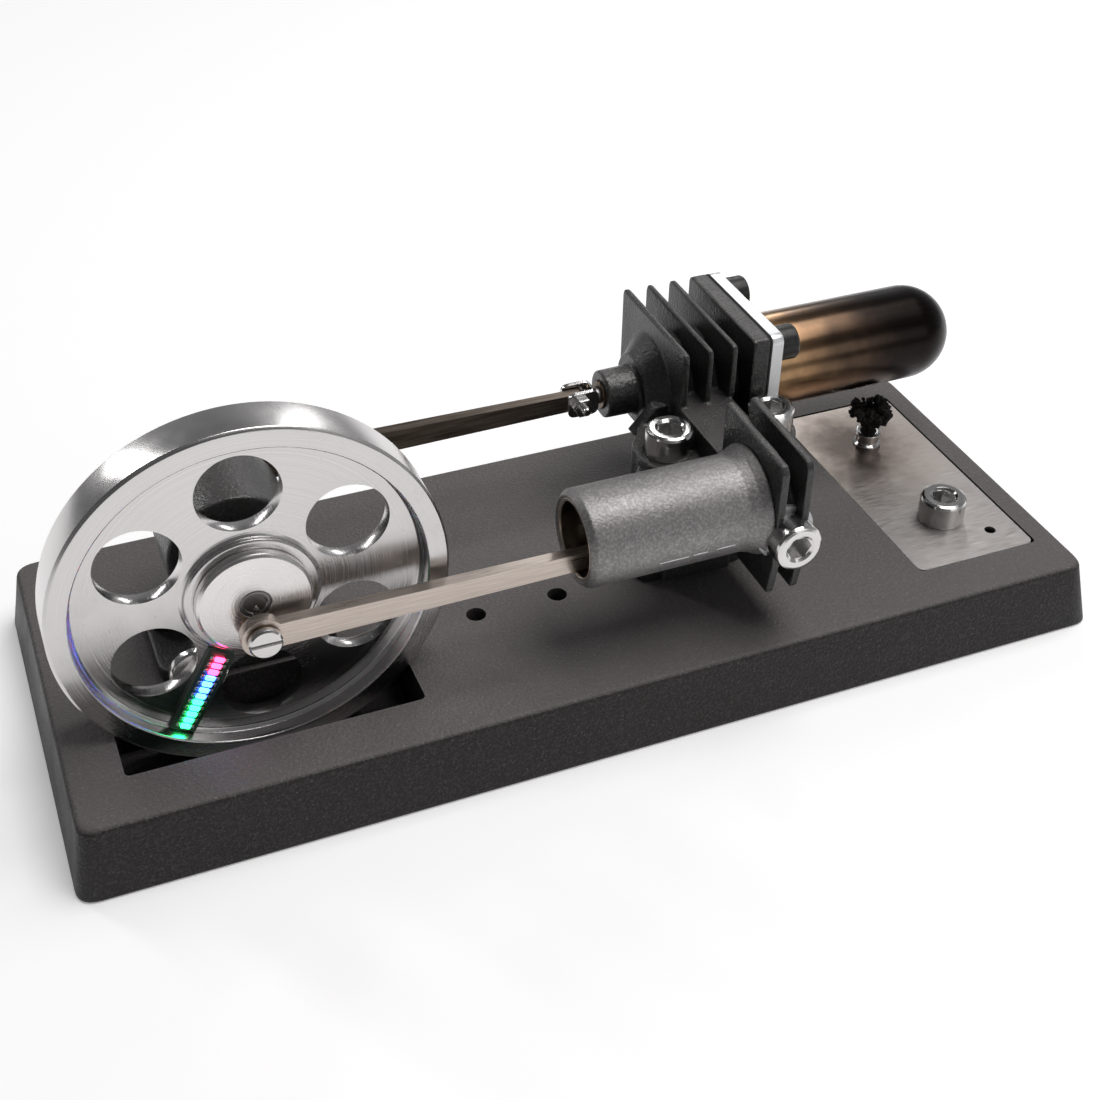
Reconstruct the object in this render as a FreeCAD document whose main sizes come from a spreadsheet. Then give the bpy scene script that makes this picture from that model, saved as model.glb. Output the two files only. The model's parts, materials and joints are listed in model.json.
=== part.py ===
import FreeCAD, Part
import Sketcher
import os
from FreeCAD import Placement, Rotation, Vector

# Desk-top hot-air (stirling) engine: a drafted base casting carries a finned engine block with two
# parallel horizontal cylinders, a bearing pedestal and a flywheel that runs in a pocket of the base.
# Row frame: millimetres, origin at the middle of the base's underside, +X towards the hot cap,
# +Y to the rear, +Z up.  The crankshaft runs along Y, both cylinders along X.

doc = FreeCAD.newDocument("stirling_engine")
sheet = doc.addObject("Spreadsheet::Sheet", "Dim")

DIMENSIONS = [
    # slip: drawn gap between a shank and its hole; over: how far a cutting tool runs past the
    # face it cuts; through: length of a tool that goes right through
    ("slip", 0.05), ("over", 1.0), ("through", 30.0), ("thread_gap", 0.02), ("seat_gap", 0.35),
    # base casting
    ("base_length", 184.0), ("base_width", 74.0), ("base_height", 12.5),
    ("base_draft_angle", 10.8), ("base_corner", 3.5), ("base_edge", 1.2),
    ("well_left", -80.9), ("well_right", -32.4), ("well_front", -24.9), ("well_rear", -7.9),
    ("well_floor", 1.2),
    ("stud_hole_x", -10.15), ("stud_hole_pitch", 15.1), ("stud_hole_y", -8.0), ("stud_hole_r", 1.75),
    # spirit tank under its lid
    ("lid_left", 60.7), ("lid_right", 85.0), ("lid_front", -25.4), ("lid_rear", 26.9),
    ("lid_thickness", 0.8), ("gasket_thickness", 0.4), ("lid_drop", 0.2), ("recess_gap", 0.25),
    ("tank_wall", 2.6), ("tank_floor", 3.0),
    ("filler_x", 73.0), ("filler_y", -12.6), ("filler_boss_r", 4.4),
    ("wick_x", 72.9), ("wick_y", 13.9), ("wick_tube_r", 2.0), ("wick_r", 1.5), ("wick_tube_top", 15.4),
    ("char_r", 4.4), ("char_half", 3.7), ("vent_x", 79.5), ("vent_y", -19.4), ("vent_r", 1.05),
    ("filler_shank", 7.0), ("wick_foot_gap", 1.0), ("wick_collar_lip", 0.7), ("char_gap", 0.6),
    ("cord_gap", 0.3),
    # crankshaft, flywheel and hub
    ("shaft_x", -56.5), ("shaft_z", 33.5), ("shaft_r", 2.5), ("throw", 4.2),
    ("rim_r", 31.5), ("rim_inner_r", 27.9), ("rim_front", -17.0), ("rim_rear", -9.25),
    ("web_front", -14.0), ("web_rear", -11.5), ("wheel_boss_r", 10.7), ("wheel_boss_front", -15.3),
    ("spigot_r", 6.0), ("hole_ring_r", 18.7), ("hole_r", 6.7), ("rim_chamfer", 0.5),
    ("hub_r", 9.2), ("hub_front", -17.2), ("hub_rear", -8.2), ("hub_chamfer", 0.4),
    ("key_r", 0.6), ("key_gap", 0.03), ("key_length", 5.0), ("key_slack", 0.2), ("key_inset", 0.1),
    ("disc_key_start", 12.7), ("set_r", 1.2), ("set_hole_r", 1.25), ("set_gap", 0.1),
    ("set_hex", 0.7), ("set_hex_depth", 1.4), ("hub_set_y", -9.9), ("hub_set_length", 3.1),
    ("disc_set_y", 14.4), ("disc_set_length", 4.5),
    # crank pins, rods and their bushes
    ("pin_r", 1.5), ("pin_gap", 0.04), ("pin_head_r", 2.7), ("pin_head", 1.3), ("pin_play", 0.3),
    ("pin_thread_r", 1.2), ("pin_thread", 3.6), ("pin_hole_depth", 5.0), ("disc_pin_depth", 4.0),
    ("slot_depth", 0.6), ("slot_half", 0.35), ("fine_slot_half", 0.25), ("bush_proud", 0.1),
    ("rod_thickness", 2.0), ("eye_r", 3.5),
    ("eye_bush_r", 2.3), ("power_y", -19.7), ("rod_half", 2.2), ("rod_tip_half", 1.65),
    ("wrist_x", 3.5), ("clevis_x", 12.0), ("displacer_y", 18.9), ("small_eye_r", 0.8),
    # forks: gap from the middle plane to a cheek, half height, reach behind and ahead of the pin
    ("cheek_gap", 1.3), ("fork_half", 2.6), ("fork_back", 2.5), ("fork_reach", 6.0),
    ("fork_cheek", 1.2), ("wrist_pin_length", 2.0), ("clevis_half", 2.4), ("clevis_back", 2.6),
    ("clevis_reach", 3.4), ("clevis_cheek", 0.8), ("clevis_rear_shank", 1.6), ("clevis_head_r", 1.7),
    ("clevis_head", 1.5), ("clevis_front_shank", 3.7), ("clevis_nut_r", 1.9), ("clevis_nut_width", 1.4),
    # bearing pedestal and ball bearings
    ("pedestal_front", -4.0), ("pedestal_rear", 11.0), ("pedestal_r", 11.0),
    ("bearing_r", 6.5), ("bearing_width", 4.0), ("race_inner_r", 3.75), ("race_outer_r", 5.3),
    ("ball_ring_r", 4.5), ("ball_r", 1.1), ("ball_gap", 0.05),
    ("pedestal_bolt", 11.2), ("pedestal_bolt_y", 6.0), ("pedestal_shank", 8.0),
    ("column_half", 7.5), ("column_front", -2.5), ("column_depth", 12.0), ("column_top", 27.5),
    ("foot_half", 15.0), ("foot_front", -7.0), ("foot_depth", 19.0), ("foot_height", 3.0),
    ("housing_bore_r", 4.6),
    ("disc_r", 9.0), ("disc_front", 12.2), ("disc_rear", 16.6),
    # power cylinder
    ("barrel_r", 8.35), ("barrel_front", -5.0), ("barrel_end", 26.6), ("liner_r", 6.95),
    ("bore_r", 6.25), ("liner_end", 22.0), ("bore_end", 24.2), ("piston_gap", 0.04),
    ("liner_gap", 0.2), ("flare_rise", 1.2), ("flare_length", 2.5), ("head_r", 7.0), ("port_r", 2.0),
    ("crown_start", 8.5), ("crown_length", 10.0), ("groove_x", 15.5), ("groove_depth", 0.35),
    ("groove_width", 0.5),
    ("side_fin_a", 26.8), ("side_fin_pitch", 4.6), ("side_fin_thickness", 1.5),
    ("side_fin_front", -29.7), ("side_fin_rear", -9.3), ("side_fin_bottom", 19.7), ("side_fin_top", 46.4),
    ("plug_x", 30.0), ("plug_z", 31.0), ("plug_seat", -26.6), ("passage_r", 1.5),
    ("passage_length", 38.0), ("plug_boss_r", 5.3), ("plug_clear_r", 5.7), ("plug_clear", 8.0),
    ("plug_thread_depth", 6.0), ("plug_shank", 5.0), ("washer_r", 5.2), ("washer_thickness", 1.0),
    # displacer cylinder, cooler and hot cap
    ("gland_end", 16.6), ("gland_r", 4.4), ("gland_ring_r", 6.8), ("gland_ring_x", 22.8),
    ("gland_length", 12.0), ("gland_ring_length", 6.0), ("gland_flare_x", 24.4),
    ("gland_flare_length", 2.6), ("gland_bush_r", 2.6), ("gland_bush_length", 11.0),
    ("gland_bush_lip", 0.4), ("rod_r", 1.5), ("rod_gap", 0.04),
    ("cooler_r", 9.3), ("cooler_bore_r", 8.0), ("cooler_wall_x", 28.5),
    ("fin_first", 26.4), ("fin_pitch", 4.75), ("fin_thickness", 1.3), ("fin_half", 13.3),
    ("fin_slant_top", 3.0), ("fin_slant_side", 3.0), ("fin_bottom", 9.0), ("fin_corner", 3.0),
    ("flange_x", 40.2), ("flange_thickness", 3.3), ("clamp_thickness", 2.2), ("clamp_bolt", 9.7),
    ("cap_r", 9.0), ("cap_wall", 0.7), ("cap_tip", 89.1), ("cap_flange_r", 10.6),
    ("cap_flange_t", 0.9), ("cap_gap", 0.1), ("displacer_r", 7.4), ("displacer_start", 38.2),
    ("displacer_end", 84.6), ("displacer_wall", 0.5), ("displacer_bottom", 3.0),
    # fasteners
    ("big_head_r", 4.25), ("big_head", 5.0), ("big_shank_r", 2.4), ("big_hex", 2.3),
    ("clamp_head_r", 3.2), ("clamp_head", 4.0), ("clamp_shank_r", 1.7), ("clamp_hex", 1.6),
    ("clamp_shank", 5.5),
    # the two long screws that hold the block down, between its cylinders
    ("foot_y", 0.5), ("foot_x_left", 21.8), ("foot_x_right", 41.7), ("foot_top", 31.5),
    ("lug_left_r", 5.6), ("lug_right_r", 5.0), ("foot_shank", 26.5), ("tapped_depth", 8.0),
    ("seat_height", 8.0), ("bridge_left", 26.4), ("bridge_right", 36.6), ("bridge_front", -13.0),
    ("bridge_rear", 12.0), ("bridge_top", 36.0), ("bridge_bottom", 28.3),
    ("saddle_left", 12.0), ("saddle_right", 33.0), ("saddle_front", -11.0), ("saddle_rear", 9.0),
    ("saddle_height", 2.6), ("web_left", 15.5), ("web_right", 28.5), ("barrel_web_front", -13.0),
    ("barrel_web_top", 29.0), ("gland_web_left", 19.8), ("gland_web_right", 29.3),
    ("gland_web_rear", 13.0), ("gland_web_depth", 9.0), ("lug_bridge_depth", 12.0),
    ("neck_half", 4.0), ("neck_depth", 8.0), ("flange_web_front", 2.5), ("flange_web_rear", 7.5),
    # light strip on one spoke: degrees it leans from straight down towards -X, board and lamps
    ("strip_turn", 30.0), ("board_start", 11.4), ("board_length", 16.2), ("board_half", 2.2),
    ("board_thickness", 0.8), ("lamp_start", 12.8), ("lamp_step", 1.25), ("lamp_half_length", 0.4),
    ("lamp_half_width", 0.8), ("lamp_height", 0.5), ("cell_r", 4.75), ("cell_thickness", 1.6),
]
for row, (alias, value) in enumerate(DIMENSIONS, start=1):
    sheet.set("A%d" % row, alias)
    sheet.set("B%d" % row, str(value))
    sheet.setAlias("B%d" % row, alias)
doc.recompute()
NUM = dict(DIMENSIONS)
SOCKET_FLOOR = 0.45              # a socket's floor, as a share of the head's height
BALLS = 7                        # balls in each bearing
WEB_HOLES = 6                    # round holes in the flywheel's web
CORNERS = ((1, 1), (1, -1), (-1, 1), (-1, -1))      # the four clamp screws, as signs of Y and Z

TURN = {                         # rotations that lay a local Z axis along a row axis
    "+Z": Rotation(),
    "-Z": Rotation(Vector(1, 0, 0), 180),
    "+X": Rotation(Vector(0, 1, 0), 90),
    "-X": Rotation(Vector(0, 1, 0), -90),
    "+Y": Rotation(Vector(1, 0, 0), -90),
    "-Y": Rotation(Vector(1, 0, 0), 90),
}
finished = []                    # (label, document object) of every sub-part


def bind(thing, prop, value):
    """Drive one property from a number or from a formula over the sheet's aliases."""
    text = str(value)
    for alias in sorted(NUM, key=len, reverse=True):
        text = replace_word(text, alias)
    thing.setExpression(prop, text)


def replace_word(text, alias):
    out, start = "", 0
    while True:
        hit = text.find(alias, start)
        if hit < 0:
            return out + text[start:]
        end = hit + len(alias)
        before = text[hit - 1] if hit else " "
        after = text[end] if end < len(text) else " "
        whole = not (before.isalnum() or before in "_.") and not (after.isalnum() or after == "_")
        out += text[start:hit] + ("Dim." + alias if whole else alias)
        start = end


def place(thing, spot, axis="+Z"):
    thing.Placement = Placement(Vector(0, 0, 0), TURN[axis])
    for name, value in zip("xyz", spot):
        bind(thing, "Placement.Base." + name, value)
    return thing


def cylinder(name, radius, length, spot, axis="+Z"):
    thing = doc.addObject("Part::Cylinder", name)
    bind(thing, "Radius", radius)
    bind(thing, "Height", length)
    return place(thing, spot, axis)


def cone(name, radius_a, radius_b, length, spot, axis="+Z"):
    thing = doc.addObject("Part::Cone", name)
    bind(thing, "Radius1", radius_a)
    bind(thing, "Radius2", radius_b)
    bind(thing, "Height", length)
    return place(thing, spot, axis)


def box(name, low, size):
    thing = doc.addObject("Part::Box", name)
    for prop, value in zip(("Length", "Width", "Height"), size):
        bind(thing, prop, value)
    return place(thing, low)


def sphere(name, radius, spot):
    thing = doc.addObject("Part::Sphere", name)
    bind(thing, "Radius", radius)
    return place(thing, spot)


def hexagon(name, corner_r, length, spot, axis="+Z"):
    thing = doc.addObject("Part::Prism", name)
    thing.Polygon = 6
    bind(thing, "Circumradius", corner_r)
    bind(thing, "Height", length)
    return place(thing, spot, axis)


def fuse(name, things):
    joined = doc.addObject("Part::MultiFuse", name)
    joined.Shapes = things
    joined.Refine = True
    return joined


def cut(name, base, tools):
    tool = tools[0] if len(tools) == 1 else fuse(name + "_tools", tools)
    result = doc.addObject("Part::Cut", name)
    result.Base = base
    result.Tool = tool
    return result


def gather(name, things):
    group = doc.addObject("Part::Compound", name)
    group.Links = things
    return group


def done(thing, label):
    thing.Label = label
    finished.append((label, thing))
    return thing


# ---- PartDesign helpers ----------------------------------------------------------------------

def new_body(name):
    return doc.addObject("PartDesign::Body", name)


def plane(body, role):
    return [f for f in body.Origin.OriginFeatures if f.Role == role][0]


def sketch_on(body, name, role, lift=None):
    sketch = body.newObject("Sketcher::SketchObject", name)
    sketch.AttachmentSupport = (plane(body, role), [""])
    sketch.MapMode = "FlatFace"
    if lift is not None:
        bind(sketch, "AttachmentOffset.Base.z", lift)
    return sketch


def hold_value(sketch, label, formula, constraint):
    slot = sketch.addConstraint(constraint)
    sketch.renameConstraint(slot, label)
    bind(sketch, "Constraints." + label, formula)


def hold_point(sketch, index, point, u, v):
    """Hold one point of the sketch's geometry at the distances u and v from the origin."""
    for kind, letter, formula, axis in (("DistanceX", "u", u, -2), ("DistanceY", "v", v, -1)):
        if str(formula) == "0":
            sketch.addConstraint(Sketcher.Constraint("PointOnObject", index, point, axis))
        else:
            hold_value(sketch, "%s%d" % (letter, index), formula,
                       Sketcher.Constraint(kind, -1, 1, index, point, number(formula)))


def outline(sketch, corners):
    """Closed polygon; each corner is a pair of formulas measured from the sketch's origin."""
    count = len(corners)
    spots = [Vector(number(u), number(v), 0) for u, v in corners]
    for index in range(count):
        sketch.addGeometry(Part.LineSegment(spots[index], spots[(index + 1) % count]), False)
    for index in range(count):
        sketch.addConstraint(Sketcher.Constraint("Coincident", index, 2, (index + 1) % count, 1))
    for index, (u, v) in enumerate(corners):
        hold_point(sketch, index, 1, u, v)
    return sketch


def rectangle(sketch, low_u, low_v, high_u, high_v):
    return outline(sketch, [(low_u, low_v), (high_u, low_v), (high_u, high_v), (low_u, high_v)])


def circles(sketch, spots):
    """Circles given as (u, v, radius) formulas."""
    for index, (u, v, radius) in enumerate(spots):
        centre = Vector(number(u), number(v), 0)
        sketch.addGeometry(Part.Circle(centre, Vector(0, 0, 1), number(radius)), False)
        hold_point(sketch, index, 3, u, v)
        hold_value(sketch, "r%d" % index, radius,
                   Sketcher.Constraint("Radius", index, number(radius)))
    return sketch


def number(formula):
    """Value of a formula made of aliases, numbers and + - * / ( )."""
    text = str(formula)
    tokens, word = [], ""
    for char in text + " ":
        if char.isalnum() or char in "_.":
            word += char
            continue
        if word:
            tokens.append(NUM[word] if word in NUM else float(word))
            word = ""
        if char in "+-*/()":
            tokens.append(char)
    return parse_sum(tokens)


def parse_sum(tokens):
    total = parse_product(tokens)
    while tokens and tokens[0] in ("+", "-"):
        sign = tokens.pop(0)
        term = parse_product(tokens)
        total = total + term if sign == "+" else total - term
    return total


def parse_product(tokens):
    value = parse_factor(tokens)
    while tokens and tokens[0] in ("*", "/"):
        sign = tokens.pop(0)
        factor = parse_factor(tokens)
        value = value * factor if sign == "*" else value / factor
    return value


def parse_factor(tokens):
    head = tokens.pop(0)
    if head == "-":
        return -parse_factor(tokens)
    if head == "(":
        value = parse_sum(tokens)
        tokens.pop(0)
        return value
    return head


def pad(body, name, sketch, length, reverse=False, taper=None):
    feature = body.newObject("PartDesign::Pad", name)
    feature.Profile = sketch
    bind(feature, "Length", length)
    feature.Reversed = reverse
    if taper is not None:
        bind(feature, "TaperAngle", taper)
    return feature


def pocket(body, name, sketch, depth, reverse=False):
    before = body.Tip.Shape.Volume
    feature = body.newObject("PartDesign::Pocket", name)
    feature.Profile = sketch
    bind(feature, "Length", depth)
    feature.Reversed = reverse
    doc.recompute()
    assert feature.Shape.Volume < before - 0.01, name + " cuts nothing"
    return feature


def revolve(body, name, sketch):
    feature = body.newObject("PartDesign::Revolution", name)
    feature.Profile = sketch
    feature.ReferenceAxis = (sketch, ["V_Axis"])
    feature.Angle = 360
    return feature


def polar(body, name, feature, count):
    pattern = body.newObject("PartDesign::PolarPattern", name)
    pattern.Originals = [feature]
    axis = [f for f in body.Origin.OriginFeatures if f.Role == "Z_Axis"][0]
    pattern.Axis = (axis, [""])
    pattern.Angle = 360
    pattern.Occurrences = count
    body.Tip = pattern
    return pattern


def turned(name, profile, spot, axis):
    """Solid of revolution from (radius, height) formulas, laid along a row axis."""
    body = new_body(name)
    sketch = outline(sketch_on(body, name + "_profile", "XZ_Plane"), profile)
    revolve(body, name + "_turn", sketch)
    return place(body, spot, axis)


# ---- fasteners -------------------------------------------------------------------------------

def socket_screw(name, head_r, head, shank_r, shank, hex_r, spot, axis):
    """Cap screw: its seat (underside of the head) is at spot and the head points along axis."""
    x, y, z = spot
    back = {"+Z": "-Z", "-Z": "+Z", "+X": "-X", "-X": "+X", "+Y": "-Y", "-Y": "+Y"}[axis]
    step = {"X": 0, "Y": 1, "Z": 2}[axis[1]]
    sign = "+" if axis[0] == "+" else "-"
    socket_spot = [x, y, z]
    socket_spot[step] = "%s %s (%s) * %g" % (spot[step], sign, head, SOCKET_FLOOR)
    solid = fuse(name + "_solid", [
        cylinder(name + "_head", head_r, head, spot, axis),
        cylinder(name + "_shank", shank_r, shank, spot, back),
    ])
    return cut(name, solid, [hexagon(name + "_socket", hex_r, head, socket_spot, axis)])


# ---- base casting, tank and its lid ----------------------------------------------------------

def make_base_plinth():
    body = new_body("base_body")
    foot = rectangle(sketch_on(body, "base_outline", "XY_Plane"), "-base_length / 2",
                     "-base_width / 2", "base_length / 2", "base_width / 2")
    block = pad(body, "base_block", foot, "base_height", taper="-base_draft_angle")
    doc.recompute()
    corners = [("Edge%d" % (i + 1)) for i, edge in enumerate(block.Shape.Edges)
               if edge.BoundBox.ZLength > NUM["base_height"] / 2]
    rounded = body.newObject("PartDesign::Fillet", "base_corners")
    rounded.Base = (block, corners)
    bind(rounded, "Radius", "base_corner")
    doc.recompute()
    rim = [("Edge%d" % (i + 1)) for i, edge in enumerate(rounded.Shape.Edges)
           if edge.BoundBox.ZMin > NUM["base_height"] - 0.01]
    soft = body.newObject("PartDesign::Fillet", "base_top_edge")
    soft.Base = (rounded, rim)
    bind(soft, "Radius", "base_edge")
    doc.recompute()
    well = rectangle(sketch_on(body, "wheel_well_outline", "XY_Plane", "base_height"),
                     "well_left", "well_front", "well_right", "well_rear")
    pocket(body, "wheel_well", well, "base_height - well_floor")
    recess = rectangle(sketch_on(body, "lid_recess_outline", "XY_Plane", "base_height"),
                       "lid_left - recess_gap", "lid_front - recess_gap",
                       "lid_right + recess_gap", "lid_rear + recess_gap")
    pocket(body, "lid_recess", recess, "lid_drop + lid_thickness + gasket_thickness")
    tank = rectangle(sketch_on(body, "tank_outline", "XY_Plane", "base_height"),
                     "lid_left + tank_wall", "lid_front + tank_wall",
                     "lid_right - tank_wall", "lid_rear - tank_wall")
    pocket(body, "tank", tank, "base_height - tank_floor")
    studs = circles(sketch_on(body, "stud_holes", "XY_Plane", "base_height"), [
        ("stud_hole_x - stud_hole_pitch / 2", "stud_hole_y", "stud_hole_r"),
        ("stud_hole_x + stud_hole_pitch / 2", "stud_hole_y", "stud_hole_r")])
    pocket(body, "stud_holes_cut", studs, "base_height + over")
    tapped = circles(sketch_on(body, "tapped_holes", "XY_Plane", "base_height"), [
        ("foot_x_left", "foot_y", "big_shank_r + slip"),
        ("foot_x_right", "foot_y", "big_shank_r + slip"),
        ("shaft_x - pedestal_bolt", "pedestal_bolt_y", "clamp_shank_r + slip"),
        ("shaft_x + pedestal_bolt", "pedestal_bolt_y", "clamp_shank_r + slip")])
    pocket(body, "tapped_holes_cut", tapped, "tapped_depth")
    return body


def make_base():
    boss_height = "base_height - lid_drop - lid_thickness - gasket_thickness - tank_floor + over"
    boss = cut("filler_boss",
               cylinder("filler_boss_solid", "filler_boss_r", boss_height,
                        ("filler_x", "filler_y", "tank_floor - over")),
               [cylinder("filler_thread", "big_shank_r + slip", "through",
                         ("filler_x", "filler_y", "tank_floor + over"))])
    return fuse("base_plinth", [make_base_plinth(), boss])


def lid_like(name, thickness, bottom, inner):
    """Flat plate in the lid's outline with the filler, wick and vent holes, or an open gasket."""
    body = new_body(name)
    outer = rectangle(sketch_on(body, name + "_outline", "XY_Plane", bottom),
                      "lid_left", "lid_front", "lid_right", "lid_rear")
    pad(body, name + "_plate", outer, thickness)
    doc.recompute()
    if inner:
        hole = rectangle(sketch_on(body, name + "_opening", "XY_Plane", "base_height"),
                         "lid_left + tank_wall", "lid_front + tank_wall",
                         "lid_right - tank_wall", "lid_rear - tank_wall")
    else:
        hole = circles(sketch_on(body, name + "_holes", "XY_Plane", "base_height"), [
            ("filler_x", "filler_y", "big_shank_r + slip"),
            ("wick_x", "wick_y", "wick_tube_r + slip"),
            ("vent_x", "vent_y", "vent_r")])
    pocket(body, name + "_cut", hole, "through")
    return body


def make_tank_parts():
    done(make_base(), "base_plinth")
    done(lid_like("tank_gasket_body", "gasket_thickness",
                  "base_height - lid_drop - lid_thickness - gasket_thickness", True), "tank_gasket")
    done(lid_like("tank_lid_body", "lid_thickness", "base_height - lid_drop - lid_thickness",
                  False), "tank_lid")
    done(socket_screw("filler_screw", "big_head_r", "big_head", "big_shank_r", "filler_shank",
                      "big_hex", ("filler_x", "filler_y", "base_height - lid_drop"), "+Z"), "filler_screw")
    tube = fuse("wick_tube_solid", [
        cylinder("wick_tube_stem", "wick_tube_r", "wick_tube_top - tank_floor - wick_foot_gap",
                 ("wick_x", "wick_y", "tank_floor + wick_foot_gap")),
        cylinder("wick_tube_collar", "wick_tube_r + wick_collar_lip",
                 "wick_tube_top - base_height + lid_drop", ("wick_x", "wick_y", "base_height - lid_drop"))])
    done(cut("wick_tube", tube, [cylinder("wick_tube_bore", "wick_r + slip", "through",
                                          ("wick_x", "wick_y", "tank_floor"))]), "wick_tube")
    char = doc.addObject("Part::Ellipsoid", "wick_char")
    for prop, value in (("Radius1", "char_half"), ("Radius2", "char_r"), ("Radius3", "char_r")):
        bind(char, prop, value)
    place(char, ("wick_x", "wick_y", "wick_tube_top + char_half + char_gap"))
    cord = cylinder("wick_cord", "wick_r", "wick_tube_top + char_half - tank_floor",
                    ("wick_x", "wick_y", "tank_floor + cord_gap"))
    done(fuse("wick", [cord, char]), "wick")


# ---- engine block ----------------------------------------------------------------------------

def cooler_fin(name, index):
    """Square cooler fin whose lower front corner is cut away on a slant."""
    body = new_body(name)
    start = "fin_first + %d * fin_pitch" % index
    sketch = outline(sketch_on(body, name + "_outline", "YZ_Plane", start), [
        ("displacer_y - fin_half", "shaft_z + fin_half"),
        ("displacer_y - fin_half", "shaft_z + fin_slant_top"),
        ("displacer_y - fin_slant_side", "shaft_z - fin_bottom"),
        ("displacer_y + fin_half - fin_corner", "shaft_z - fin_bottom"),
        ("displacer_y + fin_half", "shaft_z - fin_bottom + fin_corner"),
        ("displacer_y + fin_half", "shaft_z + fin_half")])
    pad(body, name + "_plate", sketch, "fin_thickness")
    return body


def side_fin(name, index):
    return box(name, ("side_fin_a + %d * side_fin_pitch" % index, "side_fin_front", "side_fin_bottom"),
               ("side_fin_thickness", "side_fin_rear - side_fin_front",
                "side_fin_top - side_fin_bottom"))


def make_engine_block():
    axis_d = ("displacer_y", "shaft_z")
    solids = [
        cylinder("barrel", "barrel_r", "barrel_end - barrel_front + over",
                 ("barrel_front", "power_y", "shaft_z"), "+X"),
        cone("barrel_flare", "barrel_r", "barrel_r + flare_rise", "flare_length",
             ("side_fin_a - flare_length", "power_y", "shaft_z"), "+X"),
        cylinder("barrel_head", "head_r", "side_fin_pitch + side_fin_thickness",
                 ("side_fin_a", "power_y", "shaft_z"), "+X"),
        side_fin("side_fin_1", 0), side_fin("side_fin_2", 1),
        cylinder("plug_boss", "plug_boss_r", "side_fin_rear - plug_seat",
                 ("plug_x", "plug_seat", "plug_z"), "+Y"),
        box("bridge", ("bridge_left", "bridge_front", "bridge_bottom"),
            ("bridge_right - bridge_left", "bridge_rear - bridge_front", "bridge_top - bridge_bottom")),
        cylinder("gland_boss", "gland_r", "gland_length", ("gland_end",) + axis_d, "+X"),
        cylinder("gland_ring", "gland_ring_r", "gland_ring_length", ("gland_ring_x",) + axis_d, "+X"),
        cone("gland_flare", "gland_ring_r", "cooler_r", "gland_flare_length",
             ("gland_flare_x",) + axis_d, "+X"),
        cylinder("cooler", "cooler_r", "flange_x - fin_first", ("fin_first",) + axis_d, "+X"),
        box("flange", ("flange_x", "displacer_y - fin_half", "shaft_z - fin_half"),
            ("flange_thickness", "2 * fin_half", "2 * fin_half")),
        # saddle between the cylinders: a pad on the base and two lugs for the long screws
        box("saddle_foot", ("saddle_left", "saddle_front", "base_height"),
            ("saddle_right - saddle_left", "saddle_rear - saddle_front", "saddle_height")),
        cylinder("foot_lug_left", "lug_left_r", "foot_top - base_height",
                 ("foot_x_left", "foot_y", "base_height")),
        cylinder("foot_lug_right", "lug_right_r", "foot_top - base_height",
                 ("foot_x_right", "foot_y", "base_height")),
        box("barrel_web", ("web_left", "barrel_web_front", "base_height + over"),
            ("web_right - web_left", "foot_y - barrel_web_front",
             "barrel_web_top - base_height - over")),
        box("gland_web", ("gland_web_left", "foot_y", "foot_top - gland_web_depth"),
            ("gland_web_right - gland_web_left", "gland_web_rear - foot_y", "gland_web_depth")),
        box("lug_bridge_left", ("foot_x_left", "foot_y - lug_left_r", "foot_top - lug_bridge_depth"),
            ("bridge_right - foot_x_left", "2 * lug_left_r", "lug_bridge_depth")),
        box("lug_bridge_right", ("bridge_right - over", "foot_y - neck_half", "foot_top - neck_depth"),
            ("foot_x_right - bridge_right", "2 * neck_half", "neck_depth")),
        box("flange_web", ("flange_x", "flange_web_front", "shaft_z - fin_half + over"),
            ("flange_thickness", "flange_web_rear - flange_web_front",
             "foot_top - shaft_z + fin_half - over")),
    ]
    solids += [cooler_fin("cooler_fin_%d" % (i + 1), i) for i in range(3)]
    hollows = [
        cylinder("liner_seat", "liner_r", "liner_end - barrel_front + over",
                 ("barrel_front - over", "power_y", "shaft_z"), "+X"),
        cylinder("bore_head", "bore_r", "bore_end - liner_end + over",
                 ("liner_end - over", "power_y", "shaft_z"), "+X"),
        cylinder("head_port", "port_r", "plug_x - bore_end + over",
                 ("bore_end - over", "power_y", "plug_z"), "+X"),
        cylinder("plug_thread", "big_shank_r + slip", "plug_thread_depth + over",
                 ("plug_x", "plug_seat - over", "plug_z"), "+Y"),
        cylinder("gas_passage", "passage_r", "passage_length", ("plug_x", "plug_seat", "plug_z"), "+Y"),
        cylinder("plug_clearance", "plug_clear_r", "plug_clear",
                 ("plug_x", "plug_seat - plug_clear", "plug_z"), "+Y"),
        cylinder("gland_seat", "gland_bush_r", "cooler_wall_x - gland_end + over",
                 ("gland_end - over",) + axis_d, "+X"),
        cylinder("cooler_bore", "cooler_bore_r",
                 "flange_x + flange_thickness - cooler_wall_x + over", ("cooler_wall_x",) + axis_d, "+X"),
    ]
    for side in ("left", "right"):
        spot = "foot_x_" + side
        hollows.append(cylinder("foot_hole_" + side, "big_shank_r + slip", "through",
                                (spot, "foot_y", "foot_top + over - through")))
        hollows.append(cylinder("foot_seat_" + side, "big_head_r + seat_gap", "seat_height",
                                (spot, "foot_y", "foot_top")))
    for index, (side, level) in enumerate(CORNERS):
        hollows.append(cylinder("clamp_thread_%d" % index, "clamp_shank_r + slip",
                                "flange_thickness + 2 * over",
                                ("flange_x - over", "displacer_y + %d * clamp_bolt" % side,
                                 "shaft_z + %d * clamp_bolt" % level), "+X"))
    return cut("engine_block", fuse("engine_block_solid", solids), hollows)


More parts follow.
